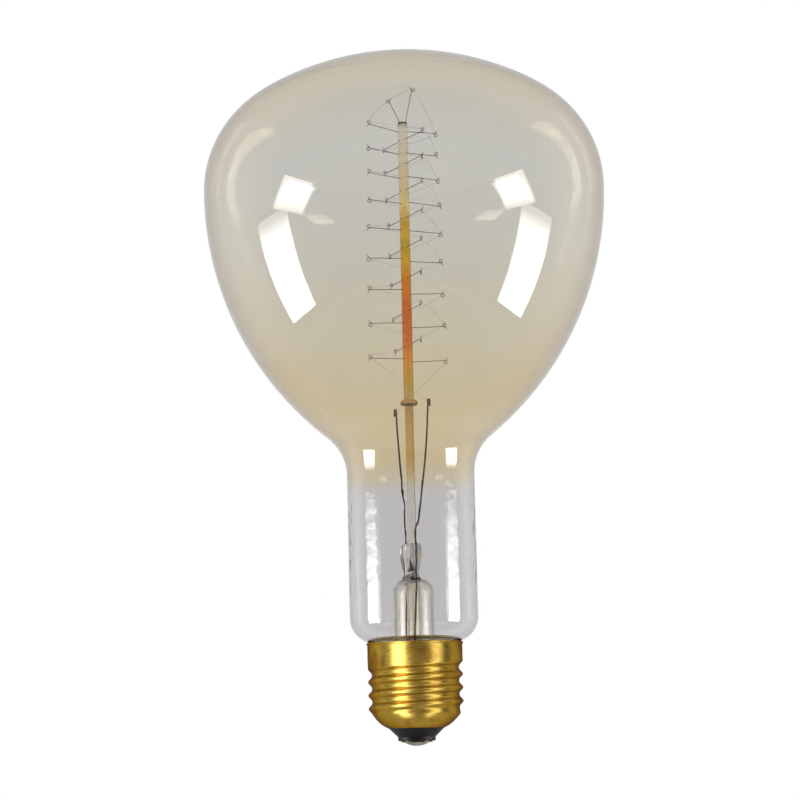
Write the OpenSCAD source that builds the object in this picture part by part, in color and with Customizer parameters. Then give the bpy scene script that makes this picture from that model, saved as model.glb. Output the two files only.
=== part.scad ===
// Decorative filament bulb: mushroom-shaped glass on a long neck, a cage filament on a glass
// support rod, and a brass screw cap. Millimetres, +Z from the cap towards the globe.
// The origin is the lowest point of the centre contact, on the bulb's axis.

/* [Glass envelope] */
// Overall length, from the centre contact to the crown of the globe
bulb_length = 193.2; // [190:0.2:198]
// Widest diameter of the globe
globe_d = 113.2; // [110:0.2:116]
// Radius of the crown arc over the top of the globe
crown_arc = 78.8; // [75:0.2:84]
// Radius of the arc that rounds the crown into the flank
brow_arc = 30.3; // [28:0.1:32]
// Radius of the long flank arc from the widest circle towards the neck
flank_arc = 89.9; // [86:0.1:94]
// Radius of the hollow curve where the flank runs into the neck
throat_arc = 14.1; // [11:0.1:17]
// Outer diameter of the neck
neck_d = 35.4; // [34.4:0.1:36.6]
// Radius of the rounded lower end of the neck
heel_arc = 7; // [6.5:0.1:7.5]
// Wall of the glass envelope
glass_wall = 0.7; // [0.5:0.05:1]
// Radius of the fillet where the heel runs into the collar inside the cap
ankle_arc = 0.6; // [0.5:0.05:0.8]

/* [Glass stem] */
// Outer diameter of the flare tube
flare_d = 11.1; // [10.4:0.1:12]
// Wall of the flare tube
flare_wall = 0.8; // [0.6:0.05:1]
// Radius of the curve that opens the flare out to the collar
flare_sweep = 5.5; // [4.8:0.1:6]
// Height at which the flare tube starts to close into its domed shoulder
dome_z = 41.6; // [40:0.2:43]
// Radius of the domed shoulder
dome_arc = 3.6; // [3.2:0.1:4.2]
// Height of the top of the press, where the wires and the rod leave it
press_top_z = 55; // [53.6:0.2:56.4]
// Width of the press at its top
press_w = 8.7; // [8.2:0.1:9.4]
// Thickness of the press at its top
press_t = 3.6; // [3.4:0.1:3.9]
// Width of the press at its waist
waist_w = 7.1; // [7:0.1:7.8]
// Thickness of the press at its waist
waist_t = 1.8; // [1.6:0.1:2.2]
// Direction of the press's width about the axis
press_turn = -65; // [-75:1:-55]
// Sideways lean of the press off the bulb's axis
press_shift = -0.45; // [-0.6:0.05:0]
// Outer diameter of the exhaust tube
exhaust_d = 3.8; // [3.2:0.1:3.9]
// Wall of the exhaust tube
exhaust_wall = 0.7; // [0.5:0.05:0.9]
// Height of the melted-off tip of the exhaust tube
exhaust_tip_z = 18.5; // [17.6:0.1:21]
// Diameter of the exhaust port in the side of the press
port_d = 1.3; // [1:0.1:1.5]

/* [Support rod] */
// Diameter of the upper rod that carries the anchor wires
rod_d = 2.8; // [2.5:0.05:3]
// Gap from the top of the upper rod to the crown of the globe
rod_top_gap = 17.6; // [16:0.1:18.2]
// Diameter of the lower rod between the press and the button
lower_rod_d = 2.4; // [2.1:0.05:2.5]
// Depth of the lower rod's seat in the press
rod_seat = 3; // [2:0.1:4]
// Diameter of the glass button between the two rods
button_d = 4.9; // [4.5:0.1:5.6]
// Thickness of the button
button_t = 1.8; // [1.4:0.1:2]
// Height of the button's upper face
button_z = 95.4; // [95:0.1:96.4]

/* [Filament cage] */
// Diameter of an anchor wire
anchor_d = 0.18; // [0.16:0.01:0.24]
// Distance of the anchor eyes from the axis
cage_r = 11.1; // [10.4:0.1:12]
// Radius of an anchor's eye, at the middle of its wire
eye_r = 0.48; // [0.4:0.01:0.54]
// Length of the cut tail beyond an eye
tail_l = 1.3; // [0.8:0.1:1.6]
// Depth of an anchor wire's root in the rod
root_depth = 0.6; // [0.4:0.05:0.7]
// Depth of the highest pair of anchor wires below the top of the rod
first_level_drop = 1.9; // [1.2:0.1:2.4]
// Height of the lowest pair of anchor wires above the button
last_level_rise = 11.4; // [10.6:0.1:12.4]
// Growth of the drop from wire to wire with each wire further down
level_growth = 0.055; // [0.05:0.001:0.058]
// Extra drop of a cross wire below the middle between two side wires, at the bottom of the cage
cross_lag = 1.2; // [0.8:0.1:1.4]
// Direction of the highest pair of side wires about the axis
cage_turn = 31; // [25:1:37]
// Turn of the cage from its highest to its lowest pair
cage_twist = -12.8; // [-18:0.2:-6]
// Spread of the hand-set anchor lengths
hand_spread = 0.2; // [0:0.05:0.4]
// Mean tilt of the hand-set side wires, eye above root
tilt_mean = 1.6; // [0:0.1:2]
// Swing of that tilt down the right side
right_tilt_swing = 3.2; // [0:0.1:4]
// Swing of that tilt down the left side
left_tilt_swing = 5; // [0:0.1:6]
// Rise of the left top wire from the rod's tip to its eye
left_top_rise = 6.3; // [5.8:0.1:6.8]
// Sideways lean of the left top wire
left_top_lean = 3.5; // [3:0.1:3.9]
// Rise of the right top wire from the rod's tip to its eye
right_top_rise = 11; // [10.2:0.1:11.4]
// Sideways lean of the right top wire
right_top_lean = 2.5; // [2:0.1:2.9]
// Diameter of the filament
filament_d = 0.1; // [0.08:0.01:0.14]
// Outward bow of the filament between two eyes
filament_bow = 0.7; // [0.3:0.1:1]

/* [Lead wires] */
// Diameter of the nickel inner leads
lead_d = 0.5; // [0.4:0.02:0.56]
// Distance between the two leads in the press
lead_gap = 6; // [5.6:0.1:6.2]
// Diameter of the seal wires that pass through the press
seal_d = 0.4; // [0.3:0.02:0.44]
// Diameter of the copper outer leads
outer_lead_d = 0.5; // [0.4:0.02:0.54]
// Length of the folded end of an inner lead
hook_l = 2.2; // [1.8:0.1:2.6]
// Depth of the hooks' tops below the button's upper face
hook_drop = 1.1; // [0.8:0.1:1.6]

/* [Screw cap] */
// Outer diameter over the thread crests
crest_d = 26; // [25.8:0.05:26.1]
// Depth of the rolled thread
thread_depth = 1.05; // [0.9:0.05:1.15]
// Pitch of the thread
thread_pitch = 3.63; // [3.6:0.01:3.66]
// How far the plain skirt stands out beyond the crests
skirt_proud = 0.05; // [0:0.01:0.1]
// Wall of the brass shell
shell_wall = 0.35; // [0.3:0.01:0.4]
// Thickness of the cement ring between the skirt and the glass collar
cement_t = 1.1; // [1:0.05:1.3]
// Height of the cap's rim above the contact
rim_z = 28; // [27.9:0.05:28.05]
// How far the turned-out lip stands beyond the skirt
lip_out = 0.25; // [0.15:0.05:0.35]
// Height of the lip
lip_h = 0.7; // [0.6:0.05:0.9]
// Height where the plain skirt ends and the thread takes over
skirt_bottom_z = 22.6; // [22.4:0.1:22.8]
// Height of the brass shell's lower edge
shell_bottom_z = 4.8; // [4.6:0.1:5]
// How far the shell's opening lies in from the crests
mouth_inset = 5.2; // [4.8:0.1:5.6]
// Radius of the curve that rounds the shell in below the thread
shell_round = 8.65; // [8.3:0.05:9.4]
// Height of that curve, from the shell's lower edge to its upright end
shell_round_rise = 7.9; // [7.6:0.1:8.2]
// Height of the thread's first crest above the shell's lower edge, on the right
first_crest_rise = 3.46; // [3.3:0.02:3.6]
// Thickness of the solder at the rim, beyond the lip
side_solder_r = 1; // [0.8:0.05:1.2]

/* [Contact end] */
// Radius of the black insulator's lower face
insulator_r = 5.1; // [4.8:0.1:5.4]
// Height of the insulator's lower face
insulator_z = 1.3; // [1.2:0.05:1.5]
// Height of the short upright edge of the insulator
insulator_edge = 1.1; // [0.8:0.1:1.3]
// Height of the insulator's upper face inside the shell
insulator_top_z = 9; // [8.2:0.1:9.6]
// Width of the insulator's lower face that shows round the contact disc
contact_edge = 0.8; // [0.6:0.1:1]
// Thickness of the contact disc
contact_t = 0.6; // [0.5:0.05:0.8]
// Depth to which the disc is let into the insulator
contact_inset = 0.25; // [0.15:0.05:0.35]
// Width of the disc that shows round the solder dome
solder_edge = 0.9; // [0.6:0.1:1.2]
// Radius of the worn flat at the lowest point of the solder
solder_flat_r = 1; // [0.8:0.1:1.4]

/* [Hidden] */
$fn = 96;
eps = 0.01;
// Clearance of a wire in the hole that glass or cement leaves round it
wire_fit = 0.02;
// Clearance between the insulator and the shell round it
insulator_fit = 0.1;
// Clearance between the glass and the solder below it
glass_fit = 0.05;
// Gap between the heel of the glass and the rim of the cap
heel_rim_gap = 0.22;

crest_r = crest_d / 2;
root_r = crest_r - thread_depth;
skirt_r = crest_r + skirt_proud;
lip_r = skirt_r + lip_out;
shell_mouth_r = crest_r - mouth_inset;
// The glass collar stands in the skirt with the cement round it, and ends where the skirt does
collar_r = skirt_r - shell_wall - cement_t;
collar_z = skirt_bottom_z;
contact_r = insulator_r - contact_edge;
solder_r = contact_r - solder_edge;
globe_r = globe_d / 2;
neck_r = neck_d / 2;
flare_r = flare_d / 2;
exhaust_r = exhaust_d / 2;
rod_r = rod_d / 2;
lower_rod_r = lower_rod_d / 2;
button_r = button_d / 2;
anchor_r = anchor_d / 2;
filament_r = filament_d / 2;
lead_r = lead_d / 2;
seal_r = seal_d / 2;
outer_lead_r = outer_lead_d / 2;
rod_top_z = bulb_length - rod_top_gap;

// Small helpers
function unit(v) = v / norm(v);
function polar(radius, angle) = [radius * cos(angle), radius * sin(angle)];
function ease(x) = let (t = min(1, max(0, x))) t * t * (3 - 2 * t);
function mix(a, b, t) = a + (b - a) * t;

// Points of an arc about [cx, cz], each end included
function arc(centre, radius, from, to, steps) =
    [for (i = [0 : steps]) centre + polar(radius, mix(from, to, i / steps))];

// The envelope's outline is a chain of tangent arcs; wall 0 gives the outer face and
// glass_wall the inner face, so the wall is even all round.
brow_turn = asin((globe_r - brow_arc) / (crown_arc - brow_arc));
crown_c = [0, bulb_length - crown_arc];
brow_c = crown_c + (crown_arc - brow_arc) * [sin(brow_turn), cos(brow_turn)];
flank_c = [globe_r - flank_arc, brow_c[1]];
throat_run = neck_r + throat_arc - flank_c[0];
throat_drop = sqrt(pow(flank_arc + throat_arc, 2) - pow(throat_run, 2));
throat_c = [neck_r + throat_arc, flank_c[1] - throat_drop];
throat_turn = atan2(throat_drop, throat_run);
// The heel's centre keeps the glass just clear of the cap's rim
rim_reach = skirt_r - neck_r + heel_arc;
heel_c = [neck_r - heel_arc, rim_z + heel_rim_gap + sqrt(pow(heel_arc, 2) - pow(rim_reach, 2))];
ankle_run = collar_r + ankle_arc - heel_c[0];
ankle_drop = sqrt(pow(heel_arc + ankle_arc, 2) - pow(ankle_run, 2));
ankle_c = [collar_r + ankle_arc, heel_c[1] - ankle_drop];
ankle_turn = atan2(ankle_drop, ankle_run);

function envelope_line(wall) = concat(
    arc(crown_c, crown_arc - wall, 90, 90 - brow_turn, 14),
    arc(brow_c, brow_arc - wall, 90 - brow_turn, 0, 16),
    arc(flank_c, flank_arc - wall, 0, -throat_turn, 18),
    arc(throat_c, throat_arc + wall, 180 - throat_turn, 180, 10),
    arc(heel_c, heel_arc - wall, 0, -ankle_turn, 10),
    arc(ankle_c, ankle_arc + wall, 180 - ankle_turn, 180, 5),
    [[collar_r - wall, collar_z]]);

function reversed(list) = [for (i = [len(list) - 1 : -1 : 0]) list[i]];

module glass_envelope() {
    color([0.86, 0.83, 0.76, 0.35])
        rotate_extrude()
            polygon(concat(envelope_line(0), reversed(envelope_line(glass_wall))));
}

// Solid of the envelope's outer face, for what has to stay clear of the glass
module envelope_body(gap) {
    rotate_extrude()
        polygon(concat([[0, collar_z]], [[0, bulb_length]],
            [for (p = envelope_line(-gap)) [max(0, p[0]), p[1]]]));
}

// A round wire swept along its points; the rings turn with the path and the ends are flat
function path_way(p, i) = unit(i == 0 ? p[1] - p[0]
    : i == len(p) - 1 ? p[i] - p[i - 1]
    : unit(p[i + 1] - p[i]) + unit(p[i] - p[i - 1]));
function square_to(t) = unit(cross(t, abs(t[2]) < 0.8 ? [0, 0, 1] : [1, 0, 0]));
function side_ways(ways) = [for (i = 0, s = square_to(ways[0]); i < len(ways);
    i = i + 1, s = i < len(ways) ? unit(s - (s * ways[i]) * ways[i]) : s) s];
function wire_points(p, radius, sides) = let (
    ways = [for (i = [0 : len(p) - 1]) path_way(p, i)],
    across = side_ways(ways))
    [for (i = [0 : len(p) - 1]) for (k = [0 : sides - 1]) let (a = 360 * k / sides)
        p[i] + radius * (cos(a) * across[i] + sin(a) * cross(ways[i], across[i]))];
function wire_faces(rings, sides) = concat(
    [for (k = [1 : sides - 2]) [0, k, k + 1]],
    [for (i = [0 : rings - 2]) for (k = [0 : sides - 1]) let (n = (k + 1) % sides)
        each [[i * sides + k, (i + 1) * sides + k, (i + 1) * sides + n],
              [i * sides + k, (i + 1) * sides + n, i * sides + n]]],
    [for (k = [1 : sides - 2]) let (e = (rings - 1) * sides) [e, e + k + 1, e + k]]);

module wire(p, radius, sides = 6) {
    polyhedron(wire_points(p, radius, sides), wire_faces(len(p), sides), convexity = 6);
}

// A smooth line through hand-set points
function eased_line(p, steps) = [for (i = [0 : len(p) - 2]) for (s = [0 : steps - 1])
    let (a = p[max(0, i - 1)], b = p[i], c = p[i + 1], d = p[min(len(p) - 1, i + 2)],
        t = s / steps)
    0.5 * (2 * b + (c - a) * t + (2 * a - 5 * b + 4 * c - d) * t * t
        + (3 * b - a - 3 * c + d) * t * t * t)];
function smooth_line(p, steps) = concat(eased_line(p, steps), [p[len(p) - 1]]);

// The press and all that passes through it share one turned frame
press_way = polar(1, press_turn);
function press_spot(side) = [press_shift, 0] + side * lead_gap / 2 * press_way;
right_spot = press_spot(1);
left_spot = press_spot(-1);
// Heights at which a seal wire is welded to its outer and to its inner lead
seal_low_z = dome_z + 1.6;
seal_high_z = press_top_z - 1.8;
flare_c = [flare_r + flare_sweep, collar_z + flare_sweep];
dome_c = [flare_r - dome_arc, dome_z];

module flare_shell() {
    rotate_extrude()
        polygon(concat(
            arc(dome_c, dome_arc, 90, 0, 12),
            arc(flare_c, flare_sweep, 180, 270, 12),
            [[collar_r, collar_z], [collar_r, collar_z - flare_wall]],
            reversed(arc(flare_c, flare_sweep + flare_wall, 180, 270, 12)),
            reversed(arc(dome_c, dome_arc - flare_wall, 90, 0, 12)),
            [[0, dome_z + dome_arc - flare_wall], [0, dome_z + dome_arc]]));
}

// The pressed end of the flare: a flat waist that swells and rounds over at the top
press_steps = 24;
press_bottom_z = dome_z + dome_arc - flare_wall / 2;
press_rows = [[0, waist_w * 1.04, waist_t * 2.1], [0.08, waist_w, waist_t * 1.5],
    [0.2, waist_w, waist_t], [0.34, mix(waist_w, press_w, 0.3), mix(waist_t, press_t, 0.3)],
    [0.5, mix(waist_w, press_w, 0.6), mix(waist_t, press_t, 0.6)],
    [0.66, mix(waist_w, press_w, 0.95), mix(waist_t, press_t, 0.9)],
    [0.84, press_w, press_t], [0.95, press_w * 0.96, press_t * 0.94],
    [1, press_w * 0.88, press_t * 0.76]];
// Power that squares the press's rounded section: 1 is an ellipse and 0 a rectangle
press_corner = 0.4;
function rounded(v, power) = sign(v) * pow(abs(v), power);
function press_ring(row) = let (z = mix(press_bottom_z, press_top_z, row[0]))
    [for (k = [0 : press_steps - 1]) let (a = 360 * k / press_steps)
        [row[1] / 2 * rounded(cos(a), press_corner), row[2] / 2 * rounded(sin(a), press_corner), z]];

module press_body() {
    rings = len(press_rows);
    translate([press_shift, 0, 0])
        rotate([0, 0, press_turn])
            polyhedron([for (row = press_rows) each press_ring(row)],
                wire_faces(rings, press_steps), convexity = 4);
}

module lead_hole(spot) {
    translate([spot[0], spot[1], dome_z])
        cylinder(h = seal_high_z - dome_z, r = seal_r + wire_fit);
    translate([spot[0], spot[1], seal_high_z - eps])
        cylinder(h = press_top_z - seal_high_z + 1, r = lead_r + wire_fit);
}

module flare_tube() {
    color([0.8, 0.84, 0.82, 0.5])
        difference() {
            union() {
                flare_shell();
                press_body();
            }
            lead_hole(right_spot);
            lead_hole(left_spot);
            translate([0, 0, press_top_z - rod_seat])
                cylinder(h = rod_seat + 1, r = lower_rod_r + wire_fit);
            translate([0, 0, dome_z + dome_arc - flare_wall - 0.4])
                rotate([0, 0, press_turn - 90])
                    rotate([0, 55, 0])
                        cylinder(h = dome_arc + 1, d = port_d);
        }
}

module exhaust_tube() {
    top_z = dome_z + dome_arc - flare_wall;
    bore_r = exhaust_r - exhaust_wall;
    tip_z = exhaust_tip_z + exhaust_r;
    color([0.8, 0.84, 0.82, 0.5])
        rotate_extrude()
            polygon(concat([[bore_r, top_z], [exhaust_r, top_z]],
                arc([0, tip_z], exhaust_r, 0, -90, 8),
                arc([0, tip_z], bore_r, -90, 0, 8)));
}

module lower_rod() {
    bottom_z = press_top_z - rod_seat;
    color([0.85, 0.74, 0.55, 0.7])
        translate([0, 0, bottom_z])
            cylinder(h = button_z - button_t - bottom_z, r = lower_rod_r);
}

module support_button() {
    edge_r = button_t / 2;
    color([0.9, 0.78, 0.5, 0.8])
        rotate_extrude()
            polygon(concat([[0, button_z - button_t]],
                arc([button_r - edge_r, button_z - edge_r], edge_r, -90, 90, 12),
                [[0, button_z]]));
}

// One anchor wire: root in the rod, straight run, open eye of seven eighths of a turn, cut tail.
// way points along the wire and lift from the wire towards the eye.
eye_steps = 9;
eye_from = -90;
eye_to = 225;
eye_shift = anchor_d * 1.5;
function eye_centre(root, way, lift, run) = root + way * run + lift * eye_r;
function anchor_line(root, way, lift, run) = let (
    centre = eye_centre(root, way, lift, run),
    aside = cross(way, lift))
    concat([root], [for (i = [0 : eye_steps]) let (a = mix(eye_from, eye_to, i / eye_steps))
        centre + eye_r * (cos(a) * way + sin(a) * lift)
            + aside * eye_shift * (i / eye_steps - 0.5)],
    [centre + eye_r * (cos(eye_to) * way + sin(eye_to) * lift) + aside * eye_shift / 2
        + tail_l * (cos(eye_to + 90) * way + sin(eye_to + 90) * lift)]);

// Levels are counted from the top; side wires sit at even steps and cross wires between them
side_levels = 9;
cross_levels = side_levels - 1;
last_step = 2 * (side_levels - 1);
first_level_z = rod_top_z - first_level_drop;
last_level_z = button_z + last_level_rise;
level_drop = (first_level_z - last_level_z) / last_step - level_growth * last_step;
function level_z(step) = first_level_z - level_drop * step - level_growth * step * step
    - (step % 2) * cross_lag * step / last_step;
function level_turn(step) = cage_turn + cage_twist * step / last_step;
// Small differences of hand-set wires, from a fixed rule
function hand_run(step, quarter) = hand_spread * sin(137 * step + 71 * quarter);
// quarter 0 is right, 1 back, 2 left and 3 front; the step gives the level
function wire_way(step, quarter) = let (p = polar(1, level_turn(step) + 90 * quarter))
    [p[0], p[1], 0];
// The side wires' tilt swings slowly down the cage, and the cross wires lie level
right_tilt_wave = [22.5, 14];
left_tilt_wave = [15, 0];
function tilt(swing, wave, step) = tilt_mean + swing * cos(wave[0] * (step - wave[1]));
function wire_tilt(step, quarter) = quarter == 0 ? tilt(right_tilt_swing, right_tilt_wave, step)
    : quarter == 2 ? tilt(left_tilt_swing, left_tilt_wave, step) : 0;
function wire_aim(step, quarter) = let (t = wire_tilt(step, quarter))
    cos(t) * wire_way(step, quarter) + [0, 0, sin(t)];
// The eyes of the filament's rising strand open upwards and those of the falling strand down
function rising(step, quarter) = let (pair = floor(step / 2) % 2)
    quarter == 0 ? pair == 1 : quarter == 2 ? pair == 0 : quarter == 3 ? pair == 0 : pair == 1;
function wire_lift(step, quarter) = let (t = wire_tilt(step, quarter))
    (rising(step, quarter) ? 1 : -1) * ([0, 0, cos(t)] - sin(t) * wire_way(step, quarter));
function wire_run(step, quarter) = cage_r - rod_r + root_depth + hand_run(step, quarter);
function wire_root(step, quarter) = wire_way(step, quarter) * (rod_r - root_depth)
    + [0, 0, level_z(step) - sin(wire_tilt(step, quarter)) * wire_run(step, quarter)];
function cage_eye(step, quarter) = eye_centre(wire_root(step, quarter),
    wire_aim(step, quarter), wire_lift(step, quarter), wire_run(step, quarter));

module anchor_row(quarter, steps) {
    color([0.33, 0.29, 0.27])
        for (step = steps)
            wire(anchor_line(wire_root(step, quarter), wire_aim(step, quarter),
                wire_lift(step, quarter), wire_run(step, quarter)), anchor_r);
}

side_steps = [0 : 2 : last_step];
cross_steps = [1 : 2 : last_step - 1];

module anchor_wires_right() { anchor_row(0, side_steps); }
module anchor_wires_back() { anchor_row(1, cross_steps); }
module anchor_wires_left() { anchor_row(2, side_steps); }
module anchor_wires_front() { anchor_row(3, cross_steps); }

// Two wires stand up out of the rod's tip: side -1 leans left and side 1 right
top_root_share = 0.7;
function top_rise(side) = side < 0 ? left_top_rise : right_top_rise;
function top_lean(side) = side < 0 ? left_top_lean : right_top_lean;
function top_across(side) = side * wire_way(0, 0);
function top_way(side) = unit(top_across(side) * top_lean(side) + [0, 0, top_rise(side)]);
function top_lift(side) = let (w = top_way(side), a = top_across(side)) unit(a - (a * w) * w);
function top_root(side) = top_across(side) * rod_r * top_root_share + [0, 0, rod_top_z]
    - top_way(side) * root_depth;
function top_run(side) = norm([top_lean(side), top_rise(side)]) + root_depth - eye_r;
function top_eye(side) = eye_centre(top_root(side), top_way(side), top_lift(side),
    top_run(side));

module anchor_wires_top() {
    color([0.33, 0.29, 0.27])
        for (side = [-1, 1])
            wire(anchor_line(top_root(side), top_way(side), top_lift(side), top_run(side)),
                anchor_r);
}

module root_hole(root, way) {
    translate(root)
        rotate([0, acos(way[2]), atan2(way[1], way[0])])
            cylinder(h = root_depth + 1, r = anchor_r + wire_fit, $fn = 24);
}

module anchor_rod() {
    tip_arc = 0.3;
    color([0.85, 0.6, 0.3, 0.8])
        difference() {
            rotate_extrude()
                polygon(concat([[0, button_z], [rod_r, button_z]],
                    arc([rod_r - tip_arc, rod_top_z - tip_arc], tip_arc, 0, 90, 6),
                    [[0, rod_top_z]]));
            for (quarter = [0, 2])
                for (step = side_steps)
                    root_hole(wire_root(step, quarter), wire_aim(step, quarter));
            for (quarter = [1, 3])
                for (step = cross_steps)
                    root_hole(wire_root(step, quarter), wire_aim(step, quarter));
            for (side = [-1, 1])
                root_hole(top_root(side), top_way(side));
        }
}

// Inner leads: hand-set routes from the press to a hook that folds over the filament's end.
// side 1 is the right lead, on the near side, and side -1 the left one, on the far side.
// A point is its offset from the hole in the press and its share of the height to the hook.
right_route = [[0.15, -0.4, 0.1], [1.1, -1.9, 0.17], [2.1, -3.3, 0.36], [3, -4.7, 0.53],
    [3.6, -5.6, 0.68], [4.3, -6.6, 0.93]];
left_route = [[-0.35, 0.4, 0.15], [-0.25, 0.25, 0.24], [-0.6, 1.2, 0.36], [-1.1, 2.9, 0.53],
    [-1.8, 5.3, 0.83], [-1.95, 6.5, 0.93]];
hook_top_z = button_z - hook_drop;
hook_fold = unit([0.84, -0.54, 0]);
hook_gap = filament_d * 1.4;
hook_r = (lead_d + hook_gap) / 2;
function route(side) = [for (p = side > 0 ? right_route : left_route) let (s = press_spot(side))
    [s[0] + p[0], s[1] + p[1], mix(press_top_z, hook_top_z, p[2])]];
function route_end(side) = let (r = route(side)) r[len(r) - 1];
function hook_foot(side) = let (e = route_end(side)) [e[0], e[1], hook_top_z - hook_r - lead_r];
function hook_middle(side) = hook_foot(side) + side * hook_fold * hook_r;
function inner_lead_line(side) = let (
    spot = press_spot(side),
    root = [spot[0], spot[1], seal_high_z],
    out = [spot[0], spot[1], press_top_z + 0.6],
    middle = hook_middle(side))
    concat([root], smooth_line(concat([out], route(side), [hook_foot(side)]), 3),
        [for (a = [150 : -30 : 0]) middle
            + hook_r * (cos(a) * side * hook_fold + [0, 0, sin(a)])],
        [middle + side * hook_fold * hook_r - [0, 0, hook_l - hook_r - lead_r]]);

module inner_lead(side) {
    color([0.36, 0.31, 0.27])
        wire(inner_lead_line(side), lead_r, 8);
}

module inner_lead_right() { inner_lead(1); }
module inner_lead_left() { inner_lead(-1); }

module seal_wire(spot) {
    color([0.6, 0.28, 0.18])
        translate([spot[0], spot[1], seal_low_z])
            cylinder(h = seal_high_z - seal_low_z, r = seal_r, $fn = 32);
}

module seal_wire_right() { seal_wire(right_spot); }
module seal_wire_left() { seal_wire(left_spot); }

// The filament is one wire: up the rising eyes, over the two top wires and down the others
rising_turns = [for (step = [last_step : -1 : 0]) [step,
    step % 4 == 0 ? 2 : step % 4 == 3 ? 1 : step % 4 == 2 ? 0 : 3]];
falling_turns = [for (step = [0 : last_step]) [step,
    step % 4 == 0 ? 0 : step % 4 == 1 ? 1 : step % 4 == 2 ? 2 : 3]];
// A short straight end lies between the two legs of each hook, square to its fold
function clamp_point(side, along) = hook_middle(side) - [0, 0, hook_l * 0.35]
    + along * cross([0, 0, 1], side * hook_fold);
filament_eyes = concat(
    [for (t = rising_turns) cage_eye(t[0], t[1])],
    [top_eye(-1), top_eye(1)],
    [for (t = falling_turns) cage_eye(t[0], t[1])]);
clamp_in = 1.1;
clamp_out = -0.6;
filament_stops = concat([clamp_point(1, clamp_in)], filament_eyes,
    [clamp_point(-1, clamp_in)]);
// Between two stops the wire bows away from the axis, and upwards too above the rod
bow_lift = 0.25;
function bow_way(a, b) = let (m = (a + b) / 2, over = max(0, m[2] - first_level_z))
    unit([m[0], m[1], bow_lift * over * norm([m[0], m[1]]) + eps]);
filament_steps = 3;
filament_line = concat([clamp_point(1, clamp_out)],
    [for (i = [0 : len(filament_stops) - 2]) let (a = filament_stops[i],
        b = filament_stops[i + 1], bow = filament_bow * bow_way(a, b))
        for (s = [0 : filament_steps - 1]) let (t = s / filament_steps)
            mix(a, b, t) + 4 * t * (1 - t) * bow],
    [clamp_point(-1, clamp_in), clamp_point(-1, clamp_out)]);

// Least distance between stretches of the filament that aren't neighbours, less its thickness
filament_gap = min([for (i = [0 : len(filament_line) - 1])
    for (j = [i + filament_steps : 1 : len(filament_line) - 1])
        norm(filament_line[i] - filament_line[j])]) - filament_d;
echo(filament_least_gap = filament_gap);

module filament() {
    color([0.4, 0.38, 0.36])
        wire(filament_line, filament_r);
}

// Outer leads: one runs down through the insulator to the contact, the other goes under the
// flare, up through the cement and out at a notch in the rim
cement_r = (collar_r + skirt_r - shell_wall) / 2;
notch_z = rim_z - lip_h / 2;
contact_face_z = insulator_z - (contact_t - contact_inset);
flare_low_z = collar_z - flare_wall;
// A point's last number is its share of the height from the insulator to the press
contact_route = [[0.5, -2.85, 0.82], [0.1, -2.95, 0.58], [0, -2.6, 0.34], [0, -1.2, 0.16],
    [0, 0, 0.05]];
// A point's last number is its height above the flare's lower edge
shell_route = [[-2.2, 2.8, 14.2], [-2.3, 3.2, 6.7], [-1.4, 5, 0.8], [-0.4, 8, -1.2]];

module outer_lead_contact() {
    route = [for (p = contact_route)
        [p[0], p[1], mix(insulator_top_z, seal_low_z, p[2])]];
    line = concat([[right_spot[0], right_spot[1], seal_low_z]],
        smooth_line(concat([[right_spot[0], right_spot[1], seal_low_z - 1]], route,
            [[0, 0, insulator_top_z]]), 3),
        [[0, 0, contact_face_z]]);
    color([0.45, 0.25, 0.16])
        wire(line, outer_lead_r, 8);
}

// Where the shell's lead turns up between glass and brass, and out at the rim
shell_lead_end = lip_r + 0.2;
shell_lead_bend = [[0, cement_r - 1, flare_low_z - 1.4], [0, cement_r - 0.3, flare_low_z - 1.2],
    [0, cement_r, flare_low_z - 0.5], [0, cement_r, notch_z - 0.6],
    [0, cement_r + 0.15, notch_z - 0.1], [0, cement_r + 0.5, notch_z],
    [0, shell_lead_end, notch_z]];

module outer_lead_shell() {
    route = [for (p = shell_route) [p[0], p[1], flare_low_z + p[2]]];
    line = concat([[left_spot[0], left_spot[1], seal_low_z]],
        smooth_line(concat([[left_spot[0], left_spot[1], seal_low_z - 1]], route,
            [shell_lead_bend[0]]), 3),
        [for (i = [1 : len(shell_lead_bend) - 1]) shell_lead_bend[i]]);
    color([0.45, 0.25, 0.16])
        wire(line, outer_lead_r, 8);
}

// Outline of the skirt and its turned-out lip, outer face, from the bottom up
lip_arc = lip_h / 2;
skirt_line = concat([[skirt_r, skirt_bottom_z], [skirt_r, rim_z - lip_h]],
    arc([lip_r - lip_arc, rim_z - lip_arc], lip_arc, -60, 90, 8));

// Thread: each height and angle has its own radius. Crests lie at whole turns of thread_turn,
// fade in over the lowest turn and stop where the plain skirt takes over.
crest_z = shell_bottom_z + first_crest_rise;
thread_lead_in = [-0.17, 0.35];
thread_run_out = [3.5, 3.72];
crest_power = 1.3;
function thread_turn(z, angle) = (z - crest_z) / thread_pitch - angle / 360;
function crest_shape(turn) = pow((1 + cos(360 * turn)) / 2, crest_power);
function crest_share(z, angle) = let (
    turn = thread_turn(z, angle),
    crest = round(turn) + angle / 360,
    groove = floor(turn) + 0.5 + angle / 360,
    start = ease((crest - thread_lead_in[0]) / (thread_lead_in[1] - thread_lead_in[0])),
    stop = 1 - ease((groove - thread_run_out[0]) / (thread_run_out[1] - thread_run_out[0])))
    1 - (1 - start * crest_shape(turn)) * stop;
// Centre of the arc that rounds the shell in to its mouth
round_z = shell_bottom_z + shell_round_rise;
round_x = shell_mouth_r - sqrt(pow(shell_round, 2) - pow(shell_round_rise, 2));
function round_r(z) = round_x
    + sqrt(max(0, pow(shell_round, 2) - pow(max(0, round_z - z), 2)));
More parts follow.
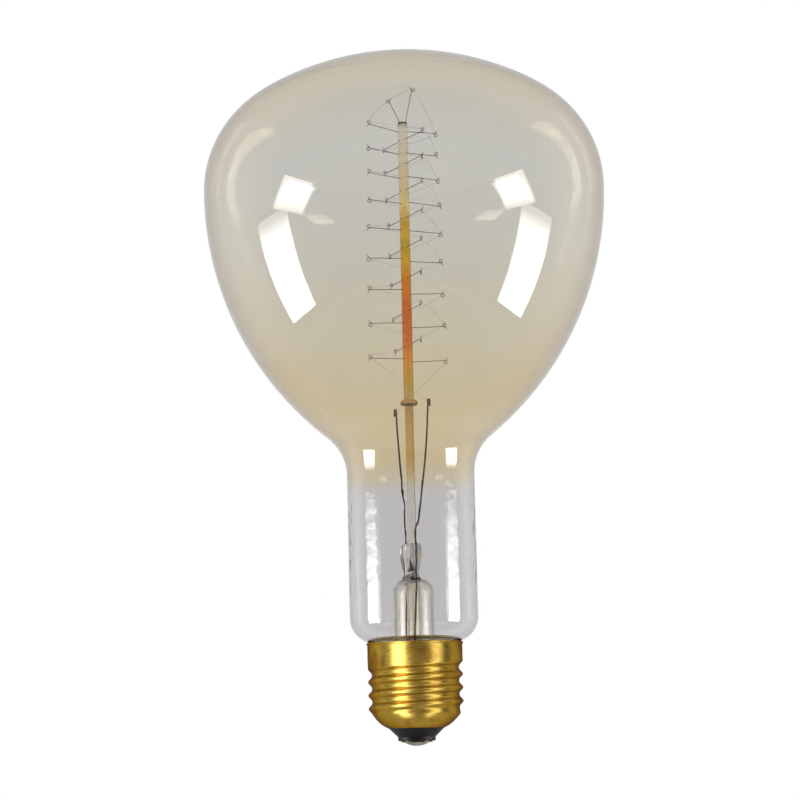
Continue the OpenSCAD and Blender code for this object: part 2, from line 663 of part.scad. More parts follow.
// The thread's height grows from nothing at the mouth over about one pitch
function shell_r(z, angle) = min(root_r, round_r(z))
    + thread_depth * crest_share(z, angle) * ease((z - shell_bottom_z) / thread_pitch);
// The threaded part runs this far up inside the skirt
thread_lap = 0.3;
thread_top_z = skirt_bottom_z + thread_lap;
thread_rows = 40;
thread_steps = 36;
function row_z(i) = mix(thread_top_z, shell_bottom_z, i / thread_rows);
function thread_ring(z, inset) = [for (k = [0 : thread_steps - 1])
    let (a = 360 * k / thread_steps, r = shell_r(z, a) - inset) [r * cos(a), r * sin(a), z]];
function loop_faces(rings, sides) = [for (i = [0 : rings - 1]) for (k = [0 : sides - 1])
    let (j = (i + 1) % rings, n = (k + 1) % sides)
    each [[i * sides + k, i * sides + n, j * sides + n],
          [i * sides + k, j * sides + n, j * sides + k]]];

module threaded_shell() {
    outer = [for (i = [0 : thread_rows]) each thread_ring(row_z(i), 0)];
    inner = [for (i = [thread_rows : -1 : 0]) each thread_ring(row_z(i), shell_wall)];
    polyhedron(concat(outer, inner), loop_faces(2 * (thread_rows + 1), thread_steps),
        convexity = 8);
}

module cap_shell() {
    inner_r = skirt_r - shell_wall;
    notch_w = outer_lead_d + 2 * wire_fit;
    color([0.83, 0.66, 0.22])
        difference() {
            union() {
                rotate_extrude()
                    polygon(concat(skirt_line,
                        [[inner_r, rim_z], [inner_r, skirt_bottom_z]]));
                threaded_shell();
            }
            translate([-notch_w / 2, inner_r - 1, notch_z - notch_w / 2])
                cube([notch_w, lip_r - inner_r + 2, rim_z - notch_z + notch_w]);
        }
}

// The insulator fills the rounded bottom of the shell and tapers out below it
module cap_insulator() {
    inset = shell_wall + insulator_fit;
    cone_r = shell_mouth_r - shell_wall / 2;
    inside = [for (i = [0 : 10]) let (z = mix(shell_bottom_z, insulator_top_z, i / 10))
        [min(root_r, round_r(z)) - inset, z]];
    color([0.06, 0.06, 0.07])
        difference() {
            rotate_extrude()
                polygon(concat(
                    [[0, insulator_z], [insulator_r, insulator_z],
                        [insulator_r + 0.05, insulator_z + insulator_edge],
                        [cone_r, shell_bottom_z - eps]],
                    inside, [[0, insulator_top_z]]));
            translate([0, 0, insulator_z - eps])
                cylinder(h = contact_inset + eps, r = contact_r);
            translate([0, 0, insulator_z])
                cylinder(h = insulator_top_z, r = outer_lead_r + wire_fit, $fn = 32);
        }
}

module centre_contact() {
    color([0.78, 0.66, 0.34])
        difference() {
            translate([0, 0, contact_face_z])
                cylinder(h = contact_t, r = contact_r);
            translate([0, 0, contact_face_z - 1])
                cylinder(h = contact_t + 2, r = outer_lead_r + wire_fit, $fn = 32);
        }
}

// Dome of solder: an arc from the disc down to the worn flat at height 0
module contact_solder() {
    centre_z = (pow(solder_r, 2) + pow(contact_face_z, 2) - pow(solder_flat_r, 2))
        / (2 * contact_face_z);
    dome_r = norm([solder_flat_r, centre_z]);
    color([0.62, 0.62, 0.6])
        rotate_extrude()
            polygon(concat([[0, contact_face_z], [0, 0]],
                arc([0, centre_z], dome_r, atan2(-centre_z, solder_flat_r),
                    atan2(contact_face_z - centre_z, solder_r), 8)));
}

// A drop of solder over the lead at the rim, above the plain skirt and below the glass
module side_solder() {
    color([0.66, 0.66, 0.64])
        difference() {
            translate([0, lip_r - 0.1, rim_z - 0.1])
                sphere(r = side_solder_r);
            translate([0, 0, rim_z - lip_h - 10])
                cylinder(h = 10, r = lip_r + 2 * side_solder_r);
            rotate_extrude()
                polygon(concat([[0, skirt_bottom_z]], skirt_line, [[0, rim_z]]));
            translate([0, 0, rim_z - lip_h])
                cylinder(h = lip_h + 2, r = skirt_r - shell_wall / 2);
            envelope_body(glass_fit);
            translate([0, 0, notch_z])
                rotate([-90, 0, 0])
                    cylinder(h = shell_lead_end + wire_fit, r = outer_lead_r + wire_fit, $fn = 32);
        }
}

module capping_cement() {
    bottom_z = thread_top_z + 0.1;
    color([0.7, 0.66, 0.58])
        difference() {
            translate([0, 0, bottom_z])
                cylinder(h = ankle_c[1] - bottom_z, r = skirt_r - shell_wall);
            translate([0, 0, bottom_z - 1])
                cylinder(h = ankle_c[1] - bottom_z + 2, r = collar_r);
            translate([0, cement_r, bottom_z - 1])
                cylinder(h = ankle_c[1] - bottom_z + 2, r = outer_lead_r + wire_fit, $fn = 32);
        }
}

glass_envelope();
flare_tube();
exhaust_tube();
lower_rod();
support_button();
anchor_rod();
anchor_wires_left();
anchor_wires_right();
anchor_wires_front();
anchor_wires_back();
anchor_wires_top();
filament();
inner_lead_right();
inner_lead_left();
seal_wire_right();
seal_wire_left();
outer_lead_contact();
outer_lead_shell();
cap_shell();
cap_insulator();
centre_contact();
contact_solder();
side_solder();
capping_cement();
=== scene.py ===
# Decorative filament bulb: lustre glass on a long neck, cage filament on a glass rod, brass screw cap.
# Sizes are real millimetres, +Z runs from the cap to the crown and -Y faces the camera.
import math

import bpy
from mathutils import Matrix, Vector


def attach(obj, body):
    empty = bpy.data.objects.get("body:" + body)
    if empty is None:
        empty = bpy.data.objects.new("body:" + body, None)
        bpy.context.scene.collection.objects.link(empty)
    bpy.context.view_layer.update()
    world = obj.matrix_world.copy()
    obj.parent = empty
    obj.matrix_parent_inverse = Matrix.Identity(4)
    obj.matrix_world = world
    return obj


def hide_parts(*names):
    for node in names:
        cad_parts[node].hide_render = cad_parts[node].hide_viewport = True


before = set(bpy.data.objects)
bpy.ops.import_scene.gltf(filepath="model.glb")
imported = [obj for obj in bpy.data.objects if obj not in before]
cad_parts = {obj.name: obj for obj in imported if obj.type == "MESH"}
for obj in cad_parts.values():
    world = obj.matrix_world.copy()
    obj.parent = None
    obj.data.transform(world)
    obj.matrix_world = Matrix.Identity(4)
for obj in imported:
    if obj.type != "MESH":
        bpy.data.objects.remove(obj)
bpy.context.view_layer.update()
mm = 0.001
scene = bpy.context.scene
body = "root"  # the bulb has no moving part


# Helpers for nodes, trees and finished pieces

class Flow:
    # a number on its way through a tree, whose arithmetic adds the nodes
    def __init__(self, source):
        self.socket = firstOutput(source)

    def then(self, operation, *others):
        links = dict(enumerate((self, *others)))
        return Flow(addNode(self.socket.id_data, "ShaderNodeMath", links, operation=operation))

    def __add__(self, other):
        return self.then("ADD", other)

    def __sub__(self, other):
        return self.then("SUBTRACT", other)

    def __rsub__(self, other):
        return self.then("MULTIPLY_ADD", -1, other)

    def __mul__(self, other):
        return self.then("MULTIPLY", other)

    def __truediv__(self, other):
        return self.then("DIVIDE", other)


def firstOutput(source):
    return source.outputs[0] if isinstance(source, bpy.types.Node) else source


def hexColour(code):
    def toLinear(value):
        return value / 12.92 if value <= 0.04045 else ((value + 0.055) / 1.055) ** 2.4
    parts = [int(code[i:i + 2], 16) / 255 for i in (1, 3, 5)]
    return (*[toLinear(part) for part in parts], 1.0)


def setStops(line, stops):
    while len(line.elements) < len(stops):
        line.elements.new(0.5)
    for element, (position, colour) in zip(line.elements, stops):
        element.position = position
        element.color = hexColour(colour) if isinstance(colour, str) else (colour,) * 3 + (1,)


def feed(node, links):
    # a flow, a socket or a node's first output is linked, a hex colour or a plain value is set
    for name, value in links.items():
        value = value.socket if isinstance(value, Flow) else firstOutput(value)
        if isinstance(value, bpy.types.NodeSocket):
            node.id_data.links.new(value, node.inputs[name])
        else:
            node.inputs[name].default_value = hexColour(value) if isinstance(value, str) else value


def addNode(tree, kind, links=None, **settings):
    node = tree.nodes.new(kind)
    for name, value in settings.items():
        if name == "stops":
            setStops(node.color_ramp, value)
        else:
            setattr(node, name, value)
    feed(node, links or {})
    return node


def newTree(name, inputs):
    tree = bpy.data.node_groups.new(name, "GeometryNodeTree")
    tree.interface.new_socket(name="Geometry", in_out="OUTPUT", socket_type="NodeSocketGeometry")
    for label, kind in {"Geometry": "Geometry", **inputs, "Material": "Material"}.items():
        tree.interface.new_socket(name=label, in_out="INPUT", socket_type="NodeSocket" + kind)
    return tree, {socket.name: Flow(socket) for socket in tree.nodes.new("NodeGroupInput").outputs}


def endTree(tree, geometry, given):
    smooth = addNode(tree, "GeometryNodeSetShadeSmooth", {0: geometry})
    real = addNode(tree, "GeometryNodeRealizeInstances", {0: smooth})
    links = {"Geometry": real, "Material": given["Material"]}
    painted = addNode(tree, "GeometryNodeSetMaterial", links)
    addNode(tree, "NodeGroupOutput", {0: painted})
    return tree


def newPiece(name, points, edges=(), faces=()):
    mesh = bpy.data.meshes.new(name)
    mesh.from_pydata([Vector(p) * mm for p in points], edges, faces)
    piece = bpy.data.objects.new(name, mesh)
    scene.collection.objects.link(piece)
    return piece


def lineObject(name, *lines):
    points, edges = [], []
    for line in lines:
        edges += [(len(points) + i, len(points) + i + 1) for i in range(len(line) - 1)]
        points += line
    return newPiece(name, points, edges)


def settle(piece):
    # what the modifiers make becomes the piece's own mesh
    old = piece.data
    settled = piece.evaluated_get(bpy.context.evaluated_depsgraph_get())
    piece.data = bpy.data.meshes.new_from_object(settled)
    piece.modifiers.clear()
    bpy.data.meshes.remove(old)
    piece.data.name = piece.name
    return piece


def throughTree(piece, tree, values):
    modifier = piece.modifiers.new(tree.name, "NODES")
    modifier.node_group = tree
    for item in tree.interface.items_tree:
        if item.in_out == "INPUT" and item.name in values:
            modifier[item.identifier] = values[item.name]
    return settle(piece)


def finishPiece(piece, node):
    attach(piece, body)
    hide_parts(node)
    print(f"{piece.name}: {len(piece.data.polygons)} faces")


def unit(v):
    return Vector(v).normalized()


def mix(a, b, t):
    return a + (b - a) * t


def polar(radius, degrees):
    angle = math.radians(degrees)
    return Vector((radius * math.cos(angle), radius * math.sin(angle)))


def arcPoints(centre, radius, start, stop, steps):
    return [Vector(centre) + polar(radius, mix(start, stop, i / steps)) for i in range(steps + 1)]


# Camera: about 600 mm away and a little below the bulb, which leans a degree to the left

camera = {
    "place": (0, -591.77, 3.57),
    "lookUp": 9.5,
    "roll": 1.36,
    "lens": 96.39,
    "sensor": 36,
    "shift": (-0.0104, -0.0324),
    "clip": (0.01, 50),  # metres
}


def makeCamera():
    data = bpy.data.cameras.new("camera")
    data.lens = camera["lens"]
    data.sensor_width = camera["sensor"]
    data.shift_x, data.shift_y = camera["shift"]
    data.clip_start, data.clip_end = camera["clip"]
    holder = bpy.data.objects.new("camera", data)
    turn = Matrix.Rotation(math.radians(90 + camera["lookUp"]), 4, "X")
    roll = Matrix.Rotation(math.radians(-camera["roll"]), 4, "Z")
    holder.matrix_world = Matrix.Translation(Vector(camera["place"]) * mm) @ turn @ roll
    scene.collection.objects.link(holder)
    scene.camera = holder


makeCamera()
print("camera set")


# Turned pieces: an outline of radius and height goes round the axis

turning = {
    "weld": 0.001,  # points closer than this become one
    "edgeReach": 0.04,  # a corner's smooth shading reaches this far along a face
    "cornerTurn": 20,  # degrees, less is no corner
}


def makeTurnedTree():
    tree, given = newTree("turned", {"Steps": "Int"})
    count = addNode(tree, "GeometryNodeAttributeDomainSize", {0: given["Geometry"]})
    columns = given["Steps"] + 1
    links = {"Vertices X": count.outputs["Point Count"], "Vertices Y": columns}
    grid = addNode(tree, "GeometryNodeMeshGrid", links)
    index = Flow(addNode(tree, "GeometryNodeInputIndex"))
    row = ((index + 0.5) / columns).then("FLOOR")
    turn = (index - row * columns) / given["Steps"] * math.tau
    place = addNode(tree, "GeometryNodeInputPosition")
    links = {"Geometry": given["Geometry"], "Value": place, "Index": row}
    outline = addNode(tree, "GeometryNodeSampleIndex", links, data_type="FLOAT_VECTOR")
    split = addNode(tree, "ShaderNodeSeparateXYZ", {0: outline.outputs["Value"]}).outputs
    radius = Flow(split["X"])
    links = {"X": radius * turn.then("COSINE"), "Y": radius * turn.then("SINE"), "Z": split["Z"]}
    spot = addNode(tree, "ShaderNodeCombineXYZ", links)
    links = {"Geometry": grid, "Position": spot}
    turned = addNode(tree, "GeometryNodeSetPosition", links)
    links = {"Geometry": turned, "Distance": turning["weld"] * mm}
    merged = addNode(tree, "GeometryNodeMergeByDistance", links)
    # a bore that closes on the axis leaves bare edges there
    faces = Flow(addNode(tree, "GeometryNodeInputMeshEdgeNeighbors"))
    links = {"Geometry": merged, "Selection": faces.then("LESS_THAN", 0.5)}
    clean = addNode(tree, "GeometryNodeDeleteGeometry", links, domain="EDGE", mode="ALL")
    return endTree(tree, clean, given)


turnedTree = makeTurnedTree()


def withEdges(outline):
    # a row close to each sharp corner keeps the faces on both sides of it flat
    line = []
    for i, spot in enumerate(outline):
        ways = [Vector(outline[k]) - Vector(spot) for k in (i - 1, i + 1) if 0 <= k < len(outline)]
        ways = [way for way in ways if way.length > 0]
        if len(ways) < 2 or ways[0].angle(-ways[1]) < math.radians(turning["cornerTurn"]):
            line.append(Vector(spot))
            continue
        before, after = [Vector(spot) + way.normalized() * min(turning["edgeReach"], way.length / 3)
                         for way in ways]
        line += [before, Vector(spot), after]
    return line


def turnedShape(name, outline, steps, slot):
    piece = lineObject(name, [(p[0], 0, p[1]) for p in withEdges(outline)])
    return throughTree(piece, turnedTree, {"Steps": steps, "Material": finish[slot]})


def turnedPiece(name, node, slot, outline, steps):
    finishPiece(turnedShape(name, outline, steps, slot), node)


# Wires: a round section swept along a path, ends closed

def makeWireTree():
    tree, given = newTree("wire", {"Radius": "Float", "Sides": "Int"})
    return endTree(tree, sweepPath(tree, given["Geometry"], given), given)


def sweepPath(tree, path, given):
    curve = addNode(tree, "GeometryNodeMeshToCurve", {0: path})
    links = {"Resolution": given["Sides"], "Radius": given["Radius"]}
    section = addNode(tree, "GeometryNodeCurvePrimitiveCircle", links)
    links = {"Curve": curve, "Profile Curve": section, "Fill Caps": True}
    return addNode(tree, "GeometryNodeCurveToMesh", links)


wireTree = makeWireTree()


def wirePiece(name, node, slot, diameter, sides, *paths):
    values = {"Radius": diameter / 2 * mm, "Sides": sides, "Material": finish[slot]}
    finishPiece(throughTree(lineObject(name, *paths), wireTree, values), node)


def smoothLine(points, steps):
    # a curve that passes through every point, with steps from one to the next
    line = []
    for i in range(len(points) - 1):
        a, b = Vector(points[max(0, i - 1)]), Vector(points[i])
        c, d = Vector(points[i + 1]), Vector(points[min(len(points) - 1, i + 2)])
        for s in range(steps):
            t = s / steps
            line.append(0.5 * (2 * b + (c - a) * t + (2 * a - 5 * b + 4 * c - d) * t * t
                               + (3 * b - a - 3 * c + d) * t ** 3))
    return line + [Vector(points[-1])]


# Materials: named for the real finish, and the scales of their patterns are real millimetres

def newMaterial(name, settings):
    material = bpy.data.materials.new(name)
    material.use_nodes = True
    tree = material.node_tree
    shader = tree.nodes["Principled BSDF"]
    feed(shader, settings)
    place = addNode(tree, "ShaderNodeTexCoord").outputs["Object"]
    return material, tree, shader, place


def blotches(tree, place, grain, detail=2.0, stretch=(1, 1, 1)):
    # grain is the size of one blotch in millimetres, stretch squeezes it along an axis
    scaled = addNode(tree, "ShaderNodeMapping", {"Vector": place, "Scale": stretch})
    links = {"Vector": scaled, "Scale": 1 / (grain * mm), "Detail": detail}
    return Flow(addNode(tree, "ShaderNodeTexNoise", links))


def heightShare(tree, place, low, high):
    up = addNode(tree, "ShaderNodeSeparateXYZ", {0: place}).outputs["Z"]
    links = {"Value": up, "From Min": low * mm, "From Max": high * mm}
    return Flow(addNode(tree, "ShaderNodeMapRange", links))


def makeFinish(name, settings, patterns=None, relief=None):
    # a pattern is blotches run through stops into a socket, a relief is blotches and their depth
    material, tree, shader, place = newMaterial(name, settings)
    for socket, (grain, stops) in (patterns or {}).items():
        links = {0: blotches(tree, place, *grain)}
        shade = addNode(tree, "ShaderNodeValToRGB", links, stops=stops)
        feed(shader, {socket: shade})
    if relief:
        grain, depth = relief
        links = {"Height": blotches(tree, place, *grain), "Distance": depth * mm, "Strength": 1.0}
        feed(shader, {"Normal": addNode(tree, "ShaderNodeBump", links)})
    return material


clearGlass = {"Roughness": 0.0, "IOR": 1.5, "Transmission Weight": 1.0}

lustreGlass = {
    "foot": 30, "top": 193,
    "stops": [(0.0, "#DFDEDE"), (0.235, "#DFDEDE"), (0.265, "#E2DCCD"), (0.3, "#E4DAC4"),
              (0.36, "#E4DAC3"), (0.44, "#E3DCCA"), (0.52, "#E3DED0"), (0.6, "#E3E0D6"),
              (0.66, "#E3E1DA"), (0.86, "#E2E2E0"), (1.0, "#E2E2DF")],
    # seen aslant the coating looks paler, and warm again at the very edge
    "slantStops": [(0.0, "#F2F2F0"), (0.24, "#F2F2F0"), (0.27, "#F2EDE1"), (0.34, "#F1EADB"),
                   (0.42, "#E8DABB"), (0.52, "#EDE5D6"), (0.7, "#F2EFE6"), (1.0, "#EEE2C9")],
    "edgeStops": [(0.0, "#E2E2E2"), (0.235, "#E2E2E2"), (0.28, "#E4D4B8"), (0.5, "#DFD2BC"),
                  (0.72, "#E6D2B6"), (1.0, "#E0CEA8")],
    "slant": (0.25, 0.55), "edge": (0.6, 0.92), "driftGrain": 40, "drift": 0.05,
    # the neck was drawn out by hand and ripples a little: the heights between which that comes in
    "rippleTop": (76, 68), "rippleFoot": (40, 44), "rippleGrain": 4.5, "rippleDepth": 0.12,
}


def lustreHeight(tree, place, g):
    # share of the way up, which drifts a little so that the tints don't end in a ring
    drift = (blotches(tree, place, g["driftGrain"]) - 0.5) * g["drift"]
    return heightShare(tree, place, g["foot"], g["top"]) + drift


def makeLustreGlass():
    # soda-lime glass with a thin metal-oxide lustre, so it looks smoke grey above and amber low in
    # the globe and at its edges
    g = lustreGlass
    material, tree, shader, place = newMaterial("lustreGlass", clearGlass)
    height = lustreHeight(tree, place, g)
    facing = addNode(tree, "ShaderNodeLayerWeight", {"Blend": 0.5}).outputs["Facing"]
    shade = addNode(tree, "ShaderNodeValToRGB", {0: height}, stops=g["stops"])
    for look in ("slant", "edge"):
        low, high = g[look]
        links = {"Value": facing, "From Min": low, "From Max": high}
        turned = addNode(tree, "ShaderNodeMapRange", links, interpolation_type="SMOOTHSTEP")
        other = addNode(tree, "ShaderNodeValToRGB", {0: height}, stops=g[look + "Stops"])
        links = {"Factor": turned, "A": shade, "B": other}
        shade = addNode(tree, "ShaderNodeMix", links, data_type="RGBA").outputs["Result"]
    neck = heightShare(tree, place, *g["rippleTop"]) * heightShare(tree, place, *g["rippleFoot"])
    ripple = blotches(tree, place, g["rippleGrain"]) * neck
    links = {"Height": ripple, "Distance": g["rippleDepth"] * mm, "Strength": 1.0}
    relief = addNode(tree, "ShaderNodeBump", links)
    feed(shader, {"Base Color": shade, "Normal": relief})
    return material


# rod colours by height: the lustre's amber light painted into the rod's own colour
rodPaintedAmber = {
    "foot": 54, "top": 176, "driftGrain": 5, "drift": 0.02,
    "stops": [(0.0, "#F8F6F0"), (0.12, "#F7F4EA"), (0.145, "#F6F1DE"), (0.165, "#F2E2C4"),
              (0.19, "#EDD2A0"), (0.22, "#E4C884"), (0.26, "#DFC486"), (0.33, "#C8A664"),
              (0.345, "#DCC07C"), (0.37, "#D2B454"), (0.39, "#DCB030"), (0.414, "#E8AC18"),
              (0.438, "#F8A010"), (0.461, "#F28C06"), (0.49, "#EE7802"), (0.56, "#EC7A02"),
              (0.59, "#F58D06"), (0.625, "#F89C20"), (0.66, "#FFBC30"), (0.705, "#D8BE36"),
              (0.725, "#FFC83E"), (0.755, "#EBBA4C"), (0.8, "#FFE9A0"), (0.842, "#FFE6B6"),
              (0.95, "#FFEFDB"), (0.985, "#FDF4E2"), (1.0, "#6E6250")],
}


def makeRodGlass():
    # drawn glass rod; the lustre's amber light that it gathers is painted into its colour by height,
    # deepest in the middle of the cage
    g = rodPaintedAmber
    material, tree, shader, place = newMaterial("rodPaintedAmber", {**clearGlass, "Roughness": 0.03})
    height = lustreHeight(tree, place, g)
    shade = addNode(tree, "ShaderNodeValToRGB", {0: height}, stops=g["stops"])
    feed(shader, {"Base Color": shade})
    return material


def makeWireMetal(name, dark, light, grain, roughness):
    # drawn wire, its oxide darker in patches
    return makeFinish(name, {"Metallic": 1.0, "Roughness": roughness},
                      {"Base Color": ((grain,), [(0.35, dark), (0.65, light)])})


# the cap's draw marks are hundredths of a millimetre apart and are drawn coarser, so that they show
drawMarks = (2.5, 4, (1, 1, 14))

# each slot's finish
finish = {
    "lustre_glass": makeLustreGlass(),
    # clear lead glass, worked in the flame, so its surface rolls a little
    "stem_glass": makeFinish("stemGlass", {**clearGlass, "Base Color": "#FEFCF6"}, relief=((3,), 0.02)),
    "rod_glass": makeRodGlass(),
    # molybdenum oxidised by the flame, a dull grey-brown
    "anchor_wire": makeWireMetal("oxidisedMolybdenum", "#4A423C", "#6E645B", 2.0, 0.45),
    # clean bright filament wire, so thin that it looks pale grey against the glass
    "filament_wire": makeWireMetal("filamentWire", "#D6D4CF", "#E4E2DC", 3.0, 0.6),
    # nickel browned by the heat of the stem's sealing
    "nickel_wire": makeWireMetal("brownedNickel", "#44352B", "#6B5442", 4.0, 0.4),
    # copper skin turned a dull red-brown in the flame
    "copper_wire": makeWireMetal("oxidisedCopper", "#462A1E", "#744A32", 3.0, 0.45),
    # rolled brass sheet under a thin lacquer, with fine draw marks and an uneven tarnish; its gloss is
    # tinted dark brown at a slant, painted shade that darkens the cap's sides
    "cap_brass": makeFinish("rolledBrass", {
        # the dark brown specular tint is painted shade on the cap's sides, where it is seen aslant
        "Metallic": 1.0, "Specular Tint": "#6E5626", "Coat Weight": 0.12, "Coat Roughness": 0.25,
    }, {
        "Base Color": ((5, 4), [(0.32, "#A87C2C"), (0.5, "#C49D40"), (0.7, "#B89235")]),
        "Roughness": (drawMarks, [(0.3, 0.24), (0.7, 0.34)]),
    }, (drawMarks, 0.004)),
    # black vitreous insulator, pressed, so it is smooth and half glossy
    "insulator_glass": makeFinish("blackGlass", {
        "Base Color": "#0A0A0C", "IOR": 1.52, "Specular IOR Level": 0.25,
    }, {"Roughness": ((1.5,), [(0.3, 0.45), (0.7, 0.6)])}, ((1.2,), 0.03)),
    # stamped brass disc coloured a dark brown, its punched edge just seen as a dull gold line
    "contact_brass": makeFinish("stampedBrass", {"Metallic": 1.0, "Roughness": 0.35},
                          {"Base Color": ((1.5,), [(0.3, "#3E3020"), (0.7, "#5E4A30")])}),
    # soft solder that froze with a slightly pitted, dull grey skin
    "solder": makeFinish("softSolder", {"Metallic": 1.0}, {
        "Base Color": ((1.0, 3), [(0.3, "#7F7F7C"), (0.7, "#B4B4AF")]),
        "Roughness": ((0.6,), [(0.3, 0.3), (0.7, 0.5)]),
    }, ((0.8, 3), 0.05)),
    # baked resin and marble dust: matt, sandy and uneven
    "cement": makeFinish("bakedCement", {"Roughness": 0.9}, {
        "Base Color": ((0.7, 4), [(0.3, "#B8924A"), (0.7, "#CDA95E")]),
    }, ((0.4, 4), 0.04)),
}
print("materials made")


# Glass envelope: a chain of tangent arcs, its inner wall the same distance inside all along

# the cap's sizes come first, because the collar of the glass fits in it
cap = {
    "crestRadius": 13.0, "threadDepth": 1.05, "pitch": 3.63, "skirtProud": 0.05, "wall": 0.35,
    "rim": 28.0, "lipOut": 0.25, "lipHeight": 0.7, "skirtBottom": 22.6, "shellBottom": 4.8,
    "mouthInset": 5.2, "roundRadius": 8.65, "roundRise": 7.9, "insulatorTop": 9.0, "cement": 1.1,
    # the first crest's height above the mouth, and the turns over which the thread comes and goes
    "firstCrest": 3.46, "leadIn": (-0.17, 0.35), "runOut": (3.5, 3.72), "crestPower": 1.3,
    "seam": 0.04, "lipEnd": -60, "lipRows": 14, "threadRows": 150, "steps": 192,
}
skirtRadius = cap["crestRadius"] + cap["skirtProud"]
collarRadius = skirtRadius - cap["wall"] - cap["cement"]

envelope = {
    "length": 193.2, "globe": 56.6, "crownArc": 78.8, "browArc": 30.3, "flankArc": 89.9,
    "throatArc": 14.1, "neck": 17.7, "heelArc": 7.0, "wall": 0.7, "ankleArc": 0.6, "rimGap": 0.22,
    # rows on the crown, brow, flank, throat, neck, heel and ankle
    "rows": (26, 26, 44, 16, 50, 14, 6), "steps": 192,
}


def envelopeLine(wall):
    e = envelope
    browTurn = math.degrees(math.asin((e["globe"] - e["browArc"]) / (e["crownArc"] - e["browArc"])))
    crown = Vector((0, e["length"] - e["crownArc"]))
    brow = crown + polar(e["crownArc"] - e["browArc"], 90 - browTurn)
    flank = Vector((e["globe"] - e["flankArc"], brow.y))
    run = e["neck"] + e["throatArc"] - flank.x
    drop = math.sqrt((e["flankArc"] + e["throatArc"]) ** 2 - run ** 2)
    throat = Vector((e["neck"] + e["throatArc"], flank.y - drop))
    throatTurn = math.degrees(math.atan2(drop, run))
    reach = skirtRadius - e["neck"] + e["heelArc"]
    heelRise = math.sqrt(e["heelArc"] ** 2 - reach ** 2)
    heel = Vector((e["neck"] - e["heelArc"], cap["rim"] + e["rimGap"] + heelRise))
    ankleRun = collarRadius + e["ankleArc"] - heel.x
    ankleDrop = math.sqrt((e["heelArc"] + e["ankleArc"]) ** 2 - ankleRun ** 2)
    ankle = Vector((collarRadius + e["ankleArc"], heel.y - ankleDrop))
    ankleTurn = math.degrees(math.atan2(ankleDrop, ankleRun))
    crownRows, browRows, flankRows, throatRows, neckRows, heelRows, ankleRows = e["rows"]
    neck = [(e["neck"] - wall, mix(throat.y, heel.y, i / neckRows)) for i in range(1, neckRows)]
    return (arcPoints(crown, e["crownArc"] - wall, 90, 90 - browTurn, crownRows)
            + arcPoints(brow, e["browArc"] - wall, 90 - browTurn, 0, browRows)[1:]
            + arcPoints(flank, e["flankArc"] - wall, 0, -throatTurn, flankRows)[1:]
            + arcPoints(throat, e["throatArc"] + wall, 180 - throatTurn, 180, throatRows)[1:]
            + neck
            + arcPoints(heel, e["heelArc"] - wall, 0, -ankleTurn, heelRows)
            + arcPoints(ankle, e["ankleArc"] + wall, 180 - ankleTurn, 180, ankleRows)[1:]
            + [(collarRadius - wall, cap["skirtBottom"])])


outline = envelopeLine(0)[:-1] + [(collarRadius, cap["skirtBottom"])]
outline += envelopeLine(envelope["wall"])[::-1]
outline[0].x = outline[-1].x = 0
turnedPiece("glass_bulb", "glass_envelope", "lustre_glass", outline, envelope["steps"])


# Glass stem: flare tube with its domed shoulder and press, and the exhaust tube inside it

stem = {
    "radius": 5.55, "wall": 0.8, "sweep": 5.5, "domeHeight": 41.6, "domeArc": 3.6,
    "arcRows": 16, "steps": 128, "voxel": 0.25, "ease": (0.5, 4),
    "pressTop": 55.0, "pressTurn": -65, "pressShift": -0.45, "pressCorner": 0.4, "pressSides": 48,
    # rows of the press: share of its height, and its width and thickness there
    "pressRows": [(0, 7.38, 3.78), (0.08, 7.1, 2.7), (0.2, 7.1, 1.8), (0.34, 7.58, 2.34),
                  (0.5, 8.06, 2.88), (0.66, 8.62, 3.42), (0.84, 8.7, 3.6), (0.95, 8.35, 3.38),
                  (1, 7.66, 2.74)],
    "rowSteps": 5,
    "exhaustRadius": 1.9, "exhaustWall": 0.7, "exhaustTip": 18.5, "exhaustGap": 0.1, "tipRows": 12,
    "exhaustSteps": 64,
}
collarFoot = cap["skirtBottom"]


def flareOutline():
    s = stem
    sweep = (s["radius"] + s["sweep"], collarFoot + s["sweep"])
    dome = (s["radius"] - s["domeArc"], s["domeHeight"])
    rows = s["arcRows"]
    outer = arcPoints(dome, s["domeArc"], 90, 0, rows) + arcPoints(sweep, s["sweep"], 180, 270, rows)
    inner = (arcPoints(dome, s["domeArc"] - s["wall"], 90, 0, rows)
             + arcPoints(sweep, s["sweep"] + s["wall"], 180, 270, rows))
    return ([(0, s["domeHeight"] + s["domeArc"])] + outer
            + [(collarRadius, collarFoot), (collarRadius, collarFoot - s["wall"])]
            + inner[::-1] + [(0, s["domeHeight"] + s["domeArc"] - s["wall"])])


def pressPiece(name):
    s = stem
    rows = smoothLine(s["pressRows"], s["rowSteps"])
    sides = s["pressSides"]
    foot = s["domeHeight"] + s["domeArc"] - s["wall"] / 2
    turn = Matrix.Rotation(math.radians(s["pressTurn"]), 4, "Z")
    shift = Vector((s["pressShift"], 0, 0))
    points, faces = [], []
    for share, width, thick in rows:
        for k in range(sides):
            across, deep = polar(1, 360 * k / sides)
            across = math.copysign(abs(across) ** s["pressCorner"], across) * width / 2
            deep = math.copysign(abs(deep) ** s["pressCorner"], deep) * thick / 2
            points.append(shift + turn @ Vector((across, deep, mix(foot, s["pressTop"], share))))
    for low in range(0, len(points) - sides, sides):
        for k in range(sides):
            n = (k + 1) % sides
            faces.append((low + k, low + n, low + sides + n, low + sides + k))
    faces.append(tuple(range(sides))[::-1])
    faces.append(tuple(range(len(points) - sides, len(points))))
    return newPiece(name, points, (), faces)


